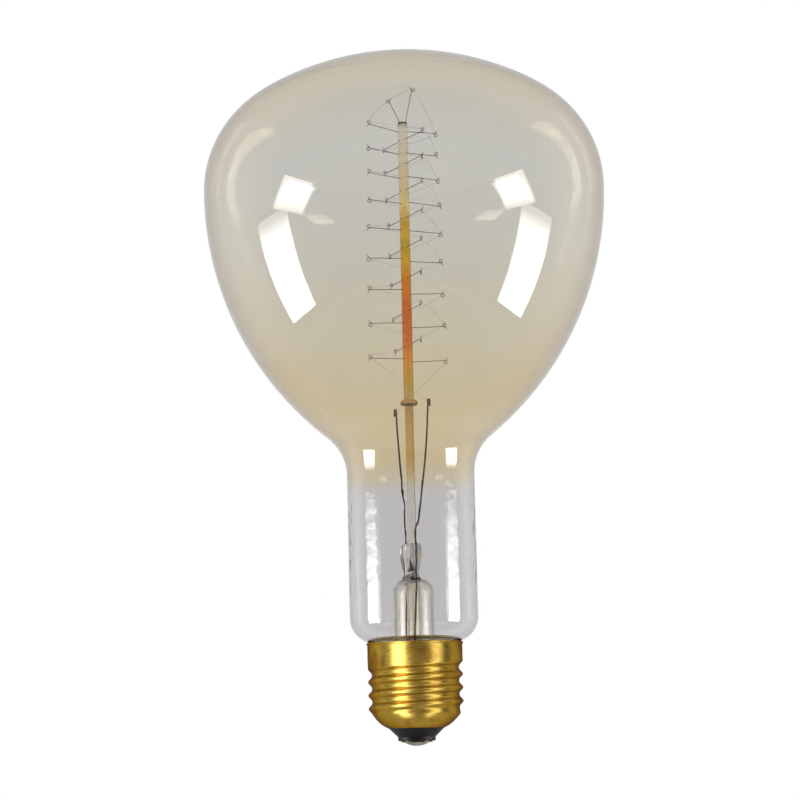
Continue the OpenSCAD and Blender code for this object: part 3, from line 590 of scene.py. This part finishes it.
def makeFlare():
    flare = turnedShape("flare_and_press", flareOutline(), stem["steps"], "stem_glass")
    press = pressPiece("press")
    fuse = flare.modifiers.new("fuse", "BOOLEAN")
    fuse.operation, fuse.solver, fuse.object = "UNION", "EXACT", press
    settle(flare)
    bpy.data.objects.remove(press)
    melt = flare.modifiers.new("melt", "REMESH")
    melt.mode, melt.voxel_size, melt.use_smooth_shade = "VOXEL", stem["voxel"] * mm, True
    ease = flare.modifiers.new("ease", "SMOOTH")
    ease.factor, ease.iterations = stem["ease"]
    settle(flare)
    flare.data.materials.clear()
    flare.data.materials.append(finish["stem_glass"])
    finishPiece(flare, "flare_tube")


def makeExhaust():
    s = stem
    top = s["domeHeight"] + s["domeArc"] - s["wall"] - s["exhaustGap"]
    tip = s["exhaustTip"] + s["exhaustRadius"]
    bore = s["exhaustRadius"] - s["exhaustWall"]
    middle = (s["exhaustRadius"] - s["exhaustWall"] / 2, top)
    line = [middle, (s["exhaustRadius"], top)]
    line += arcPoints((0, tip), s["exhaustRadius"], 0, -90, s["tipRows"])
    line += arcPoints((0, tip), bore, -90, 0, s["tipRows"]) + [(bore, top), middle]
    turnedPiece("exhaust_tube_glass", "exhaust_tube", "stem_glass", line, s["exhaustSteps"])


makeFlare()
makeExhaust()


# Support rod: lower rod, button and the upper rod that carries the wires

rod = {
    "radius": 1.4, "top": 175.6, "lowerRadius": 1.2, "buttonRadius": 2.45, "buttonHeight": 1.8,
    "buttonTop": 95.4, "tipArc": 0.35, "endArc": 0.1, "seat": 0.4, "arcRows": 6, "buttonRows": 20,
    "rows": 60, "steps": 48,
}


def rodLine(radius, low, high, lowArc, highArc):
    rows, arcRows = rod["rows"], rod["arcRows"]
    sides = [(radius, mix(high - highArc, low + lowArc, i / rows)) for i in range(1, rows)]
    return ([(0, high)] + arcPoints((radius - highArc, high - highArc), highArc, 90, 0, arcRows)
            + sides + arcPoints((radius - lowArc, low + lowArc), lowArc, 0, -90, arcRows)
            + [(0, low)])


def makeRods():
    r = rod
    buttonFoot = r["buttonTop"] - r["buttonHeight"]
    line = rodLine(r["lowerRadius"], stem["pressTop"] - r["seat"], buttonFoot, r["endArc"], r["endArc"])
    turnedPiece("lower_glass_rod", "lower_rod", "rod_glass", line, r["steps"])
    edge = r["buttonHeight"] / 2
    line = [(0, r["buttonTop"])]
    line += arcPoints((r["buttonRadius"] - edge, r["buttonTop"] - edge), edge, 90, -90, r["buttonRows"])
    line += [(0, buttonFoot)]
    turnedPiece("glass_button", "support_button", "rod_glass", line, r["steps"])
    line = rodLine(r["radius"], r["buttonTop"], r["top"], r["endArc"], r["tipArc"])
    turnedPiece("upper_glass_rod", "anchor_rod", "rod_glass", line, r["steps"])


makeRods()


# Cage: anchor wires on rising levels, each with its eye and its cut tail

cage = {
    "wire": 0.18, "sides": 8, "reach": 11.1, "root": 0.6, "firstDrop": 1.9, "lastRise": 11.42,
    "growth": 0.055, "crossLag": 1.2, "turn": 31, "twist": -12.8, "lastStep": 16,
    "eye": 0.48, "tail": 1.3, "eyeFrom": -90, "eyeTo": 225, "eyeShift": 0.27, "eyeSteps": 28,
    # hand work: each wire stands out by its own small amount, which a sine of its step and side gives
    "handSpread": 0.2, "stepWobble": 137, "sideWobble": 71,
    # by side, from the right round to the front: whether the first pair of eyes points up, and the
    # wires' tilt in degrees as its mean, swing, degrees a step and the step with the most tilt
    "upPair": (1, 1, 0, 0),
    "tilt": ((1.6, 3.2, 22.5, 14), (0, 0, 0, 0), (1.6, 5, 15, 0), (0, 0, 0, 0)),
    "topRise": {-1: 6.3, 1: 11}, "topLean": {-1: 3.5, 1: 2.5}, "topRoot": 0.7,
    # the filament is 0.1 mm thick and is drawn finer, because it looks too heavy in the render
    "filament": 0.1, "filamentSeen": 0.075, "filamentSides": 6, "filamentSteps": 10, "bow": 0.7,
    "bowLift": 0.25, "leastLift": 0.01, "clampRun": 1.1, "clampTail": 0.6, "clampHeight": 0.35,
}
firstLevel = rod["top"] - cage["firstDrop"]
lastLevel = rod["buttonTop"] + cage["lastRise"]
levelDrop = (firstLevel - lastLevel) / cage["lastStep"] - cage["growth"] * cage["lastStep"]
wireRun = cage["reach"] - rod["radius"] + cage["root"]


def eyePath(root, way, lift, run):
    # straight run, open eye of seven eighths of a turn, cut tail
    root, way, lift = Vector(root), Vector(way), Vector(lift)
    centre = root + way * run + lift * cage["eye"]
    aside = way.cross(lift)
    line = [root]
    for i in range(cage["eyeSteps"] + 1):
        share = i / cage["eyeSteps"]
        c, s = polar(cage["eye"], mix(cage["eyeFrom"], cage["eyeTo"], share))
        line.append(centre + c * way + s * lift + aside * cage["eyeShift"] * (share - 0.5))
    c, s = polar(cage["tail"], cage["eyeTo"] + 90)
    return line + [line[-1] + c * way + s * lift]


def makeAnchorRowTree():
    # copies one wire down the rod: each level has its height, its turn and its way up
    numbers = ["Radius", "First", "Drop", "Growth", "Lag", "Turn", "Twist", "Hand", "Step Wobble",
               "Side Wobble", "Root", "Run", "Last Step", "Quarter", "Odd", "Up Pair",
               "Tilt Mean", "Tilt Swing", "Tilt Rate", "Tilt Peak"]
    inputs = {label: "Float" for label in numbers}
    tree, given = newTree("anchorRow", {**inputs, "Sides": "Int", "Count": "Int"})
    wire = sweepPath(tree, given["Geometry"], given)
    points = addNode(tree, "GeometryNodePoints", {"Count": given["Count"]})
    index = Flow(addNode(tree, "GeometryNodeInputIndex"))
    step = index * 2 + given["Odd"]
    share = step / given["Last Step"]
    fall = step * step * given["Growth"] + step * given["Drop"]
    level = given["First"] - fall - given["Odd"] * given["Lag"] * share
    wave = (step - given["Tilt Peak"]) * given["Tilt Rate"]
    tilt = wave.then("COSINE") * given["Tilt Swing"] + given["Tilt Mean"]
    height = level - tilt.then("SINE") * given["Run"]
    turn = share * given["Twist"] + given["Turn"] + given["Quarter"] * (math.pi / 2)
    wobble = step * given["Step Wobble"] + given["Quarter"] * given["Side Wobble"]
    out = wobble.then("SINE") * given["Hand"] + given["Root"]
    links = {"X": out * turn.then("COSINE"), "Y": out * turn.then("SINE"), "Z": height}
    spot = addNode(tree, "ShaderNodeCombineXYZ", links)
    placed = addNode(tree, "GeometryNodeSetPosition", {"Geometry": points, "Position": spot})
    pair = (step / 2).then("FLOOR").then("MODULO", 2)
    flip = (pair - given["Up Pair"]).then("ABSOLUTE") * math.pi
    spin = addNode(tree, "ShaderNodeCombineXYZ", {"X": flip, "Y": tilt * -1, "Z": turn})
    links = {"Points": placed, "Instance": wire, "Rotation": spin}
    copies = addNode(tree, "GeometryNodeInstanceOnPoints", links)
    return endTree(tree, copies, given)


anchorRowTree = makeAnchorRowTree()


def makeAnchorRow(name, node, quarter):
    c = cage
    odd = quarter % 2
    path = eyePath((0, 0, 0), (1, 0, 0), (0, 0, 1), wireRun)
    mean, swing, rate, peak = c["tilt"][quarter]
    lengths = {
        "Radius": c["wire"] / 2, "First": firstLevel, "Drop": levelDrop, "Growth": c["growth"],
        "Lag": c["crossLag"], "Hand": c["handSpread"], "Root": rod["radius"] - c["root"], "Run": wireRun,
    }
    angles = {
        "Turn": c["turn"], "Twist": c["twist"], "Step Wobble": c["stepWobble"],
        "Side Wobble": c["sideWobble"], "Tilt Mean": mean, "Tilt Swing": swing, "Tilt Rate": rate,
    }
    steps = {
        "Last Step": c["lastStep"], "Quarter": quarter, "Odd": odd, "Up Pair": c["upPair"][quarter],
        "Tilt Peak": peak,
    }
    values = {
        **{label: value * mm for label, value in lengths.items()},
        **{label: math.radians(value) for label, value in angles.items()},
        **{label: float(value) for label, value in steps.items()},
        "Sides": c["sides"], "Count": (c["lastStep"] - odd) // 2 + 1, "Material": finish["anchor_wire"],
    }
    piece = throughTree(lineObject(name, path), anchorRowTree, values)
    finishPiece(piece, node)


def topPath(side):
    c = cage
    turn = polar(1, c["turn"])
    across = Vector((turn.x, turn.y, 0)) * side
    reach = across * c["topLean"][side] + Vector((0, 0, c["topRise"][side]))
    way = unit(reach)
    lift = unit(across - across.dot(way) * way)
    root = across * rod["radius"] * c["topRoot"] + Vector((0, 0, rod["top"])) - way * c["root"]
    run = reach.length + c["root"] - c["eye"]
    return root, way, lift, run


def makeTopWires():
    paths = [eyePath(*topPath(side)) for side in (-1, 1)]
    wirePiece("top_anchor_wires", "anchor_wires_top", "anchor_wire", cage["wire"], cage["sides"],
              *paths)


makeAnchorRow("right_anchor_wires", "anchor_wires_right", 0)
makeAnchorRow("back_anchor_wires", "anchor_wires_back", 1)
makeAnchorRow("left_anchor_wires", "anchor_wires_left", 2)
makeAnchorRow("front_anchor_wires", "anchor_wires_front", 3)
makeTopWires()


# Leads: the inner pair ends in hooks that fold over the filament's two ends

leads = {
    "inner": 0.5, "seal": 0.4, "outer": 0.5, "gap": 6.0, "sides": 12,
    # the seal wires start this far above the foot of the stem's dome and end this far under the
    # press's top; the leads run straight to this far above the press and below the seal wires
    "sealFoot": 1.6, "sealHead": 1.8, "sealRows": 8, "straightUp": 0.6, "straightDown": 1.0,
    # the hooks: their height, how far they stop under the button's top, and their room for the
    # filament as a share of its thickness
    "hook": 2.2, "hookDrop": 1.1, "nip": 1.4, "hookSteps": 12, "fold": (0.84, -0.54, 0),
    # inner leads: across and deep from the press's lead, and share of the height up to the hook
    "right": [(0.15, -0.4, 0.1), (1.1, -1.9, 0.17), (2.1, -3.3, 0.36), (3, -4.7, 0.53),
              (3.6, -5.6, 0.68), (4.3, -6.6, 0.93)],
    "left": [(-0.35, 0.4, 0.15), (-0.25, 0.25, 0.24), (-0.6, 1.2, 0.36), (-1.1, 2.9, 0.53),
             (-1.8, 5.3, 0.83), (-1.95, 6.5, 0.93)],
    "innerSteps": 8, "outerSteps": 6,
    # contact lead: across and deep from the axis, and share of the height up to the seal
    "contact": [(0.5, -2.85, 0.82), (0.1, -2.95, 0.58), (0, -2.6, 0.34), (0, -1.2, 0.16),
                (0, 0, 0.05)],
    "contactFoot": 1.0,
    # shell lead: across, deep and up from the flare's foot, then up in the cement and out at a notch
    "shell": [(-2.2, 2.8, 14.2), (-2.3, 3.2, 6.7), (-1.4, 5, 0.8), (-0.4, 8, -1.2)],
    "shellFoot": [(-1, -1.4), (-0.3, -1.2), (0, -0.5)],
    "notchBend": [(0, -0.6), (0.15, -0.1), (0.5, 0)], "shellEnd": 0.2,
}
sealLow = stem["domeHeight"] + leads["sealFoot"]
sealHigh = stem["pressTop"] - leads["sealHead"]
hookTop = rod["buttonTop"] - leads["hookDrop"]
hookRadius = (leads["inner"] + cage["filament"] * leads["nip"]) / 2
foldWay = unit(leads["fold"])


def pressSpot(side):
    spot = polar(side * leads["gap"] / 2, stem["pressTurn"])
    return Vector((stem["pressShift"] + spot.x, spot.y, 0))


def innerRoute(side):
    spot = pressSpot(side)
    return [Vector((spot.x + x, spot.y + y, mix(stem["pressTop"], hookTop, share)))
            for x, y, share in leads["right" if side > 0 else "left"]]


def hookMiddle(side):
    end = innerRoute(side)[-1]
    foot = Vector((end.x, end.y, hookTop - hookRadius - leads["inner"] / 2))
    return foot + side * foldWay * hookRadius


def innerPath(side):
    spot, middle = pressSpot(side), hookMiddle(side)
    foot = middle - side * foldWay * hookRadius
    out = Vector((spot.x, spot.y, stem["pressTop"] + leads["straightUp"]))
    line = [Vector((spot.x, spot.y, sealHigh))]
    line += smoothLine([out] + innerRoute(side) + [foot], leads["innerSteps"])
    for i in range(leads["hookSteps"]):
        c, s = polar(hookRadius, 180 * (1 - (i + 1) / leads["hookSteps"]))
        line.append(middle + c * side * foldWay + Vector((0, 0, s)))
    drop = leads["hook"] - hookRadius - leads["inner"] / 2
    return line + [middle + side * foldWay * hookRadius - Vector((0, 0, drop))]


def outerPath(side, route):
    # from the seal wire's foot straight down and on along the route
    spot = pressSpot(side)
    foot = Vector((spot.x, spot.y, sealLow))
    below = foot - Vector((0, 0, leads["straightDown"]))
    return [foot] + smoothLine([below] + route, leads["outerSteps"])


def contactPath():
    top = cap["insulatorTop"]
    route = [(x, y, mix(top, sealLow, share)) for x, y, share in leads["contact"]]
    return outerPath(1, route + [(0, 0, top)]) + [(0, 0, leads["contactFoot"])]


def shellPath():
    low = collarFoot - stem["wall"]
    inCement = (collarRadius + skirtRadius - cap["wall"]) / 2
    notch = cap["rim"] - cap["lipHeight"] / 2
    route = [(x, y, low + rise) for x, y, rise in leads["shell"]]
    bend = [(0, inCement + out, low + rise) for out, rise in leads["shellFoot"]]
    bend += [(0, inCement + out, notch + rise) for out, rise in leads["notchBend"]]
    bend += [(0, skirtRadius + cap["lipOut"] + leads["shellEnd"], notch)]
    return outerPath(-1, route + bend[:1]) + bend[1:]


def makeLeads():
    sides = leads["sides"]
    rows = leads["sealRows"]
    for side, hand in ((1, "right"), (-1, "left")):
        wirePiece(f"{hand}_inner_lead", f"inner_lead_{hand}", "nickel_wire", leads["inner"], sides,
                  innerPath(side))
        spot = pressSpot(side)
        path = [(spot.x, spot.y, mix(sealLow, sealHigh, i / rows)) for i in range(rows + 1)]
        wirePiece(f"{hand}_seal_wire", f"seal_wire_{hand}", "copper_wire", leads["seal"], sides, path)
    for end, path in (("contact", contactPath()), ("shell", shellPath())):
        wirePiece(f"{end}_lead", f"outer_lead_{end}", "copper_wire", leads["outer"], sides, path)


makeLeads()


# Filament: one wire from hook to hook, up the rising eyes, over the top and down again

def levelHeight(step):
    odd = step % 2
    return (firstLevel - levelDrop * step - cage["growth"] * step * step
            - odd * cage["crossLag"] * step / cage["lastStep"])


def cageEye(step, quarter):
    turn = cage["turn"] + cage["twist"] * step / cage["lastStep"] + 90 * quarter
    wobble = cage["stepWobble"] * step + cage["sideWobble"] * quarter
    hand = cage["handSpread"] * math.sin(math.radians(wobble))
    mean, swing, rate, peak = cage["tilt"][quarter]
    tilt = math.radians(mean + swing * math.cos(math.radians(rate * (step - peak))))
    lift = cage["eye"] * (1 if (step // 2) % 2 == cage["upPair"][quarter] else -1)
    root = rod["radius"] - cage["root"] + hand
    spot = polar(root + math.cos(tilt) * wireRun - math.sin(tilt) * lift, turn)
    return Vector((spot.x, spot.y, levelHeight(step) + math.cos(tilt) * lift))


def topEye(side):
    root, way, lift, run = topPath(side)
    return root + way * run + lift * cage["eye"]


def clampPoint(side, along):
    square = Vector((0, 0, 1)).cross(side * foldWay)
    return hookMiddle(side) - Vector((0, 0, leads["hook"] * cage["clampHeight"])) + along * square


def filamentPath():
    # four sides in turn: it goes up by the eyes that lie across the cage from its way down
    c = cage
    steps = range(c["lastStep"] + 1)
    eyes = [cageEye(step, (step + 2) % 4) for step in reversed(steps)]
    eyes += [topEye(-1), topEye(1)]
    eyes += [cageEye(step, step % 4) for step in steps]
    stops = [clampPoint(1, c["clampRun"])] + eyes + [clampPoint(-1, c["clampRun"])]
    line = [clampPoint(1, -c["clampTail"])]
    for a, b in zip(stops, stops[1:]):
        middle = (a + b) / 2
        over = max(0, middle.z - firstLevel)
        flat = math.hypot(middle.x, middle.y)
        lift = c["bowLift"] * over * flat + c["leastLift"]
        bow = unit((middle.x, middle.y, lift)) * c["bow"]
        for s in range(c["filamentSteps"]):
            t = s / c["filamentSteps"]
            line.append(mix(a, b, t) + 4 * t * (1 - t) * bow)
    return line + [stops[-1], clampPoint(-1, -c["clampTail"])]


wirePiece("cage_filament", "filament", "filament_wire", cage["filamentSeen"], cage["filamentSides"],
          filamentPath())


# Screw cap: skirt, lip and a rolled thread whose crest fades in at the mouth

def shellRadius(z):
    # outside of the shell before its thread is pushed out: the root, and the round down to the mouth
    root = cap["crestRadius"] - cap["threadDepth"]
    mouth = cap["crestRadius"] - cap["mouthInset"]
    middle = mouth - math.sqrt(cap["roundRadius"] ** 2 - cap["roundRise"] ** 2)
    below = max(0, cap["shellBottom"] + cap["roundRise"] - z)
    return min(root, middle + math.sqrt(max(0, cap["roundRadius"] ** 2 - below ** 2)))


def capOutline():
    lipArc = cap["lipHeight"] / 2
    lipMiddle = (skirtRadius + cap["lipOut"] - lipArc, cap["rim"] - lipArc)
    inner = skirtRadius - cap["wall"]
    rows = cap["threadRows"]
    high = cap["skirtBottom"] - cap["seam"]
    outer = arcPoints(lipMiddle, lipArc, 90, cap["lipEnd"], cap["lipRows"])
    outer += [(skirtRadius, z) for z in (cap["rim"] - cap["lipHeight"], cap["skirtBottom"])]
    heights = [mix(high, cap["shellBottom"], i / rows) for i in range(rows + 1)]
    threaded = [Vector((shellRadius(z), z)) for z in heights]
    back = [p - Vector((cap["wall"], 0)) for p in threaded[::-1]]
    return (outer + threaded + back
            + [(inner, cap["skirtBottom"]), (inner, cap["rim"]), outer[0]])


def makeThreadTree():
    # pushes the wall out to the crest: whole is the share of a turn round the axis, turn counts the
    # thread's turns up to this height
    numbers = ["Depth", "Pitch", "First Crest", "In From", "In To", "Out From", "Out To", "Power",
               "Mouth", "Top"]
    tree, given = newTree("rolledThread", {label: "Float" for label in numbers})
    place = addNode(tree, "GeometryNodeInputPosition")
    split = addNode(tree, "ShaderNodeSeparateXYZ", {0: place}).outputs
    height = Flow(split["Z"])
    whole = (Flow(split["Y"]).then("ARCTAN2", split["X"]) / math.tau + 1).then("FRACT")
    turn = (height - given["First Crest"]) / given["Pitch"] - whole
    wave = (turn * math.tau).then("COSINE")
    shape = (wave * 0.5 + 0.5).then("POWER", given["Power"])
    crest = turn.then("ROUND") + whole
    groove = turn.then("FLOOR") + 0.5 + whole
    eased = []
    for value, low, high in ((crest, given["In From"], given["In To"]),
                             (groove, given["Out From"], given["Out To"]),
                             (height, given["Mouth"], given["Mouth"] + given["Pitch"])):
        links = {"Value": value, "From Min": low, "From Max": high}
        node = addNode(tree, "ShaderNodeMapRange", links, interpolation_type="SMOOTHSTEP")
        eased.append(Flow(node))
    start, stop, fade = eased
    share = 1 - (1 - start * shape) * (1 - stop)
    out = share * fade * (height.then("LESS_THAN", given["Top"]) * given["Depth"])
    flat = addNode(tree, "ShaderNodeCombineXYZ", {"X": split["X"], "Y": split["Y"]})
    way = addNode(tree, "ShaderNodeVectorMath", {0: flat}, operation="NORMALIZE")
    push = addNode(tree, "ShaderNodeVectorMath", {0: way, "Scale": out}, operation="SCALE")
    links = {"Geometry": given["Geometry"], "Offset": push}
    moved = addNode(tree, "GeometryNodeSetPosition", links)
    return endTree(tree, moved, given)


threadTree = makeThreadTree()


def makeCapShell():
    piece = turnedShape("brass_screw_shell", capOutline(), cap["steps"], "cap_brass")
    values = {
        "Depth": cap["threadDepth"] * mm, "Pitch": cap["pitch"] * mm,
        "First Crest": (cap["shellBottom"] + cap["firstCrest"]) * mm, "In From": cap["leadIn"][0],
        "In To": cap["leadIn"][1], "Out From": cap["runOut"][0], "Out To": cap["runOut"][1],
        "Power": cap["crestPower"], "Mouth": cap["shellBottom"] * mm,
        "Top": (cap["skirtBottom"] - cap["seam"] / 2) * mm, "Material": finish["cap_brass"],
    }
    throughTree(piece, threadTree, values)
    finishPiece(piece, "cap_shell")
    return piece


shellPiece = makeCapShell()


# Contact end: black insulator, brass disc, solder dome

contactEnd = {
    "radius": 5.1, "foot": 1.3, "edge": 1.1, "edgeArc": 0.2, "taper": 0.05, "fit": 0.1, "hairGap": 0.01,
    "discRadius": 4.3, "discHeight": 0.6, "discArc": 0.15, "discFit": 0.02, "inset": 0.25,
    "solderRadius": 3.4, "flatRadius": 1.0, "arcRows": 6, "sideRows": 16, "domeRows": 16, "steps": 96,
}
discFoot = contactEnd["foot"] + contactEnd["inset"] - contactEnd["discHeight"]


def makeInsulator():
    c = contactEnd
    rows = c["sideRows"]
    mouth = cap["crestRadius"] - cap["mouthInset"] - cap["wall"] / 2
    heights = [mix(cap["insulatorTop"], cap["shellBottom"], i / rows) for i in range(rows + 1)]
    line = [(0, cap["insulatorTop"])]
    line += [(shellRadius(z) - cap["wall"] - c["fit"], z) for z in heights]
    line += [(mouth, cap["shellBottom"] - c["hairGap"]),
             (c["radius"] + c["taper"], c["foot"] + c["edge"])]
    line += arcPoints((c["radius"] - c["edgeArc"], c["foot"] + c["edgeArc"]), c["edgeArc"], 0, -90,
                      c["arcRows"])
    line += [(c["discRadius"] + c["hairGap"], c["foot"]),
             (c["discRadius"], c["foot"] + c["inset"]), (0, c["foot"] + c["inset"])]
    turnedPiece("black_insulator", "cap_insulator", "insulator_glass", line, c["steps"])


def makeDisc():
    c = contactEnd
    out = c["discRadius"] - c["discFit"]
    top = discFoot + c["discHeight"]
    line = [(0, top), (out, top)]
    line += arcPoints((out - c["discArc"], discFoot + c["discArc"]), c["discArc"], 0, -90, c["arcRows"])
    line += [(0, discFoot)]
    turnedPiece("contact_disc", "centre_contact", "contact_brass", line, c["steps"])


def makeSolderDome():
    # a ball's cap whose tip is worn flat
    c = contactEnd
    middle = (c["solderRadius"] ** 2 + discFoot ** 2 - c["flatRadius"] ** 2) / (2 * discFoot)
    dome = math.hypot(c["flatRadius"], middle)
    start = math.degrees(math.atan2(discFoot - middle, c["solderRadius"]))
    stop = math.degrees(math.atan2(-middle, c["flatRadius"]))
    line = [(0, discFoot)] + arcPoints((0, middle), dome, start, stop, c["domeRows"])
    line += [(0, 0)]
    turnedPiece("solder_dome", "contact_solder", "solder", line, c["steps"])


makeInsulator()
makeDisc()
makeSolderDome()


# The side solder and the cement ring keep their shapes and take their finishes

def dressNode(name, material):
    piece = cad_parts[name]
    piece.data.materials.clear()
    piece.data.materials.append(material)


dressNode("side_solder", finish["solder"])
dressNode("capping_cement", finish["cement"])


# Studio: white surround, two panes of light on each side and a pale floor well below

studio = {
    "mattLevel": 0.5,
    # level that gloss mirrors, by share of the way from the camera's side to the backdrop
    "room": [(0, 0.28), (0.2, 0.3), (0.5, 0.55), (0.68, 0.64), (0.86, 0.62), (0.95, 0.66),
             (0.985, 0.7), (0.997, 1.0)],
    # panes on each side: distance, corners as depth and height, radiance, colour, and the two heights
    # between which a pane fades to a share of its radiance
    "panes": {
        "long": (500, [(-218, 128), (-12, 122), (5, -155), (-215, -212)], 12, "#FFFFFF", (40, 112, 0.2)),
        "high": (220, [(-118, 177), (-209, 158), (-157, 116), (-77, 140)], 5.5, "#FFF8EC",
                 (150, 110, 0.4)),
    },
    # lamps for the brass alone: from and to in degrees round from the camera, radiance, distance,
    # and the heights of the foot and head
    "lamps": {"left": (-54, -25, 8.2, 450, -900, 900), "right": (40, 65, 3.5, 450, -900, 900),
              "left side": (-100, -62, 0.4, 460, -200, 220)},
    "lampColour": "#D2E0FF",
    "floorHeight": -500, "floorRadius": 900, "floorSides": 96,
    "bounces": 48,  # light passes many glass walls here
}


def makeWorld():
    # seen directly and through glass it is white; gloss mirrors a white backdrop in a pale grey room
    s = studio
    world = bpy.data.worlds.new("studio")
    scene.world = world
    world.use_nodes = True
    tree = world.node_tree
    path = addNode(tree, "ShaderNodeLightPath").outputs
    way = addNode(tree, "ShaderNodeTexCoord").outputs["Generated"]
    back = Flow(addNode(tree, "ShaderNodeSeparateXYZ", {0: way}).outputs["Y"]) * 0.5 + 0.5
    room = addNode(tree, "ShaderNodeValToRGB", {0: back}, stops=s["room"])
    mirrored = Flow(path["Glossy Depth"]).then("MINIMUM", 1)
    clear = addNode(tree, "ShaderNodeMapRange", {"Value": mirrored, "To Min": 1.0, "To Max": room})
    seen = Flow(path["Is Camera Ray"])
    for ray in ("Glossy", "Transmission"):
        seen = seen.then("MAXIMUM", path[f"Is {ray} Ray"])
    links = {"Value": seen, "To Min": s["mattLevel"], "To Max": clear}
    level = addNode(tree, "ShaderNodeMapRange", links)
    feed(tree.nodes["Background"], {"Color": "#FFFFFF", "Strength": level})


def makePane(name, side, away, outline, radiance, colour, fade):
    # seen straight through glass, a pane is as white as the surround; mirrored, it shines
    pane = newPiece(name, [(side * away, y, z) for y, z in outline], (), [(0, 1, 2, 3)])
    pane.visible_camera = False
    material = bpy.data.materials.new(name)
    material.use_nodes = True
    tree = material.node_tree
    tree.nodes.remove(tree.nodes["Principled BSDF"])
    path = addNode(tree, "ShaderNodeLightPath").outputs
    straight = (1 - Flow(path["Glossy Depth"]).then("MINIMUM", 1)) * path["Is Transmission Ray"]
    low, high, share = fade
    place = addNode(tree, "ShaderNodeTexCoord").outputs["Object"]
    fall = heightShare(tree, place, low, high) * (share - 1)
    links = {"Value": straight, "To Min": fall * radiance + radiance, "To Max": 1.0}
    strength = addNode(tree, "ShaderNodeMapRange", links)
    links = {"Color": colour, "Strength": strength}
    glow = addNode(tree, "ShaderNodeEmission", links)
    feed(tree.nodes["Material Output"], {"Surface": glow})
    pane.data.materials.append(material)
    linkBrass(pane, "EXCLUDE")


def linkBrass(light, state):
    # the brass alone takes this light, or everything but the brass does
    takers = bpy.data.collections.new(f"{light.name} takers")
    takers.objects.link(shellPiece)
    takers.collection_objects[0].light_linking.link_state = state
    light.light_linking.receiver_collection = takers


def makeLamp(name, start, stop, radiance, away, foot, head):
    lamp = bpy.data.lights.new(f"{name} lamp", "AREA")
    left, right = [polar(away * mm, angle - 90) for angle in (start, stop)]
    lamp.shape, lamp.size, lamp.size_y = "RECTANGLE", (right - left).length, (head - foot) * mm
    lamp.energy = radiance * math.pi * lamp.size * lamp.size_y
    lamp.color = hexColour(studio["lampColour"])[:3]
    holder = bpy.data.objects.new(f"{name} lamp", lamp)
    middle = (left + right) / 2
    out = Vector((middle.x, middle.y, 0))
    turn = out.to_track_quat("Z", "Y").to_matrix().to_4x4()
    holder.matrix_world = Matrix.Translation((*middle, (foot + head) / 2 * mm)) @ turn
    holder.visible_camera = False
    scene.collection.objects.link(holder)
    linkBrass(holder, "INCLUDE")


def makeFloor():
    # painted board, matt and a shade under white, too low for the photograph's frame
    s = studio
    rim = [polar(s["floorRadius"], 360 * i / s["floorSides"]) for i in range(s["floorSides"])]
    points = [(p.x, p.y, s["floorHeight"]) for p in rim]
    floor = newPiece("floor", points, (), [tuple(range(s["floorSides"]))])
    floor.visible_glossy = False
    floor.data.materials.append(makeFinish("paintedBoard", {"Base Color": "#F4F4F2", "Roughness": 0.9}))


def makeStudio():
    s = studio
    makeWorld()
    for side, hand in ((-1, "left"), (1, "right")):
        for name, values in s["panes"].items():
            makePane(f"{hand} {name} pane", side, *values)
    for name, values in s["lamps"].items():
        makeLamp(name, *values)
    makeFloor()


makeStudio()
scene.view_settings.view_transform = "Standard"
scene.cycles.max_bounces = studio["bounces"]
scene.cycles.transmission_bounces = studio["bounces"]
print("studio set")
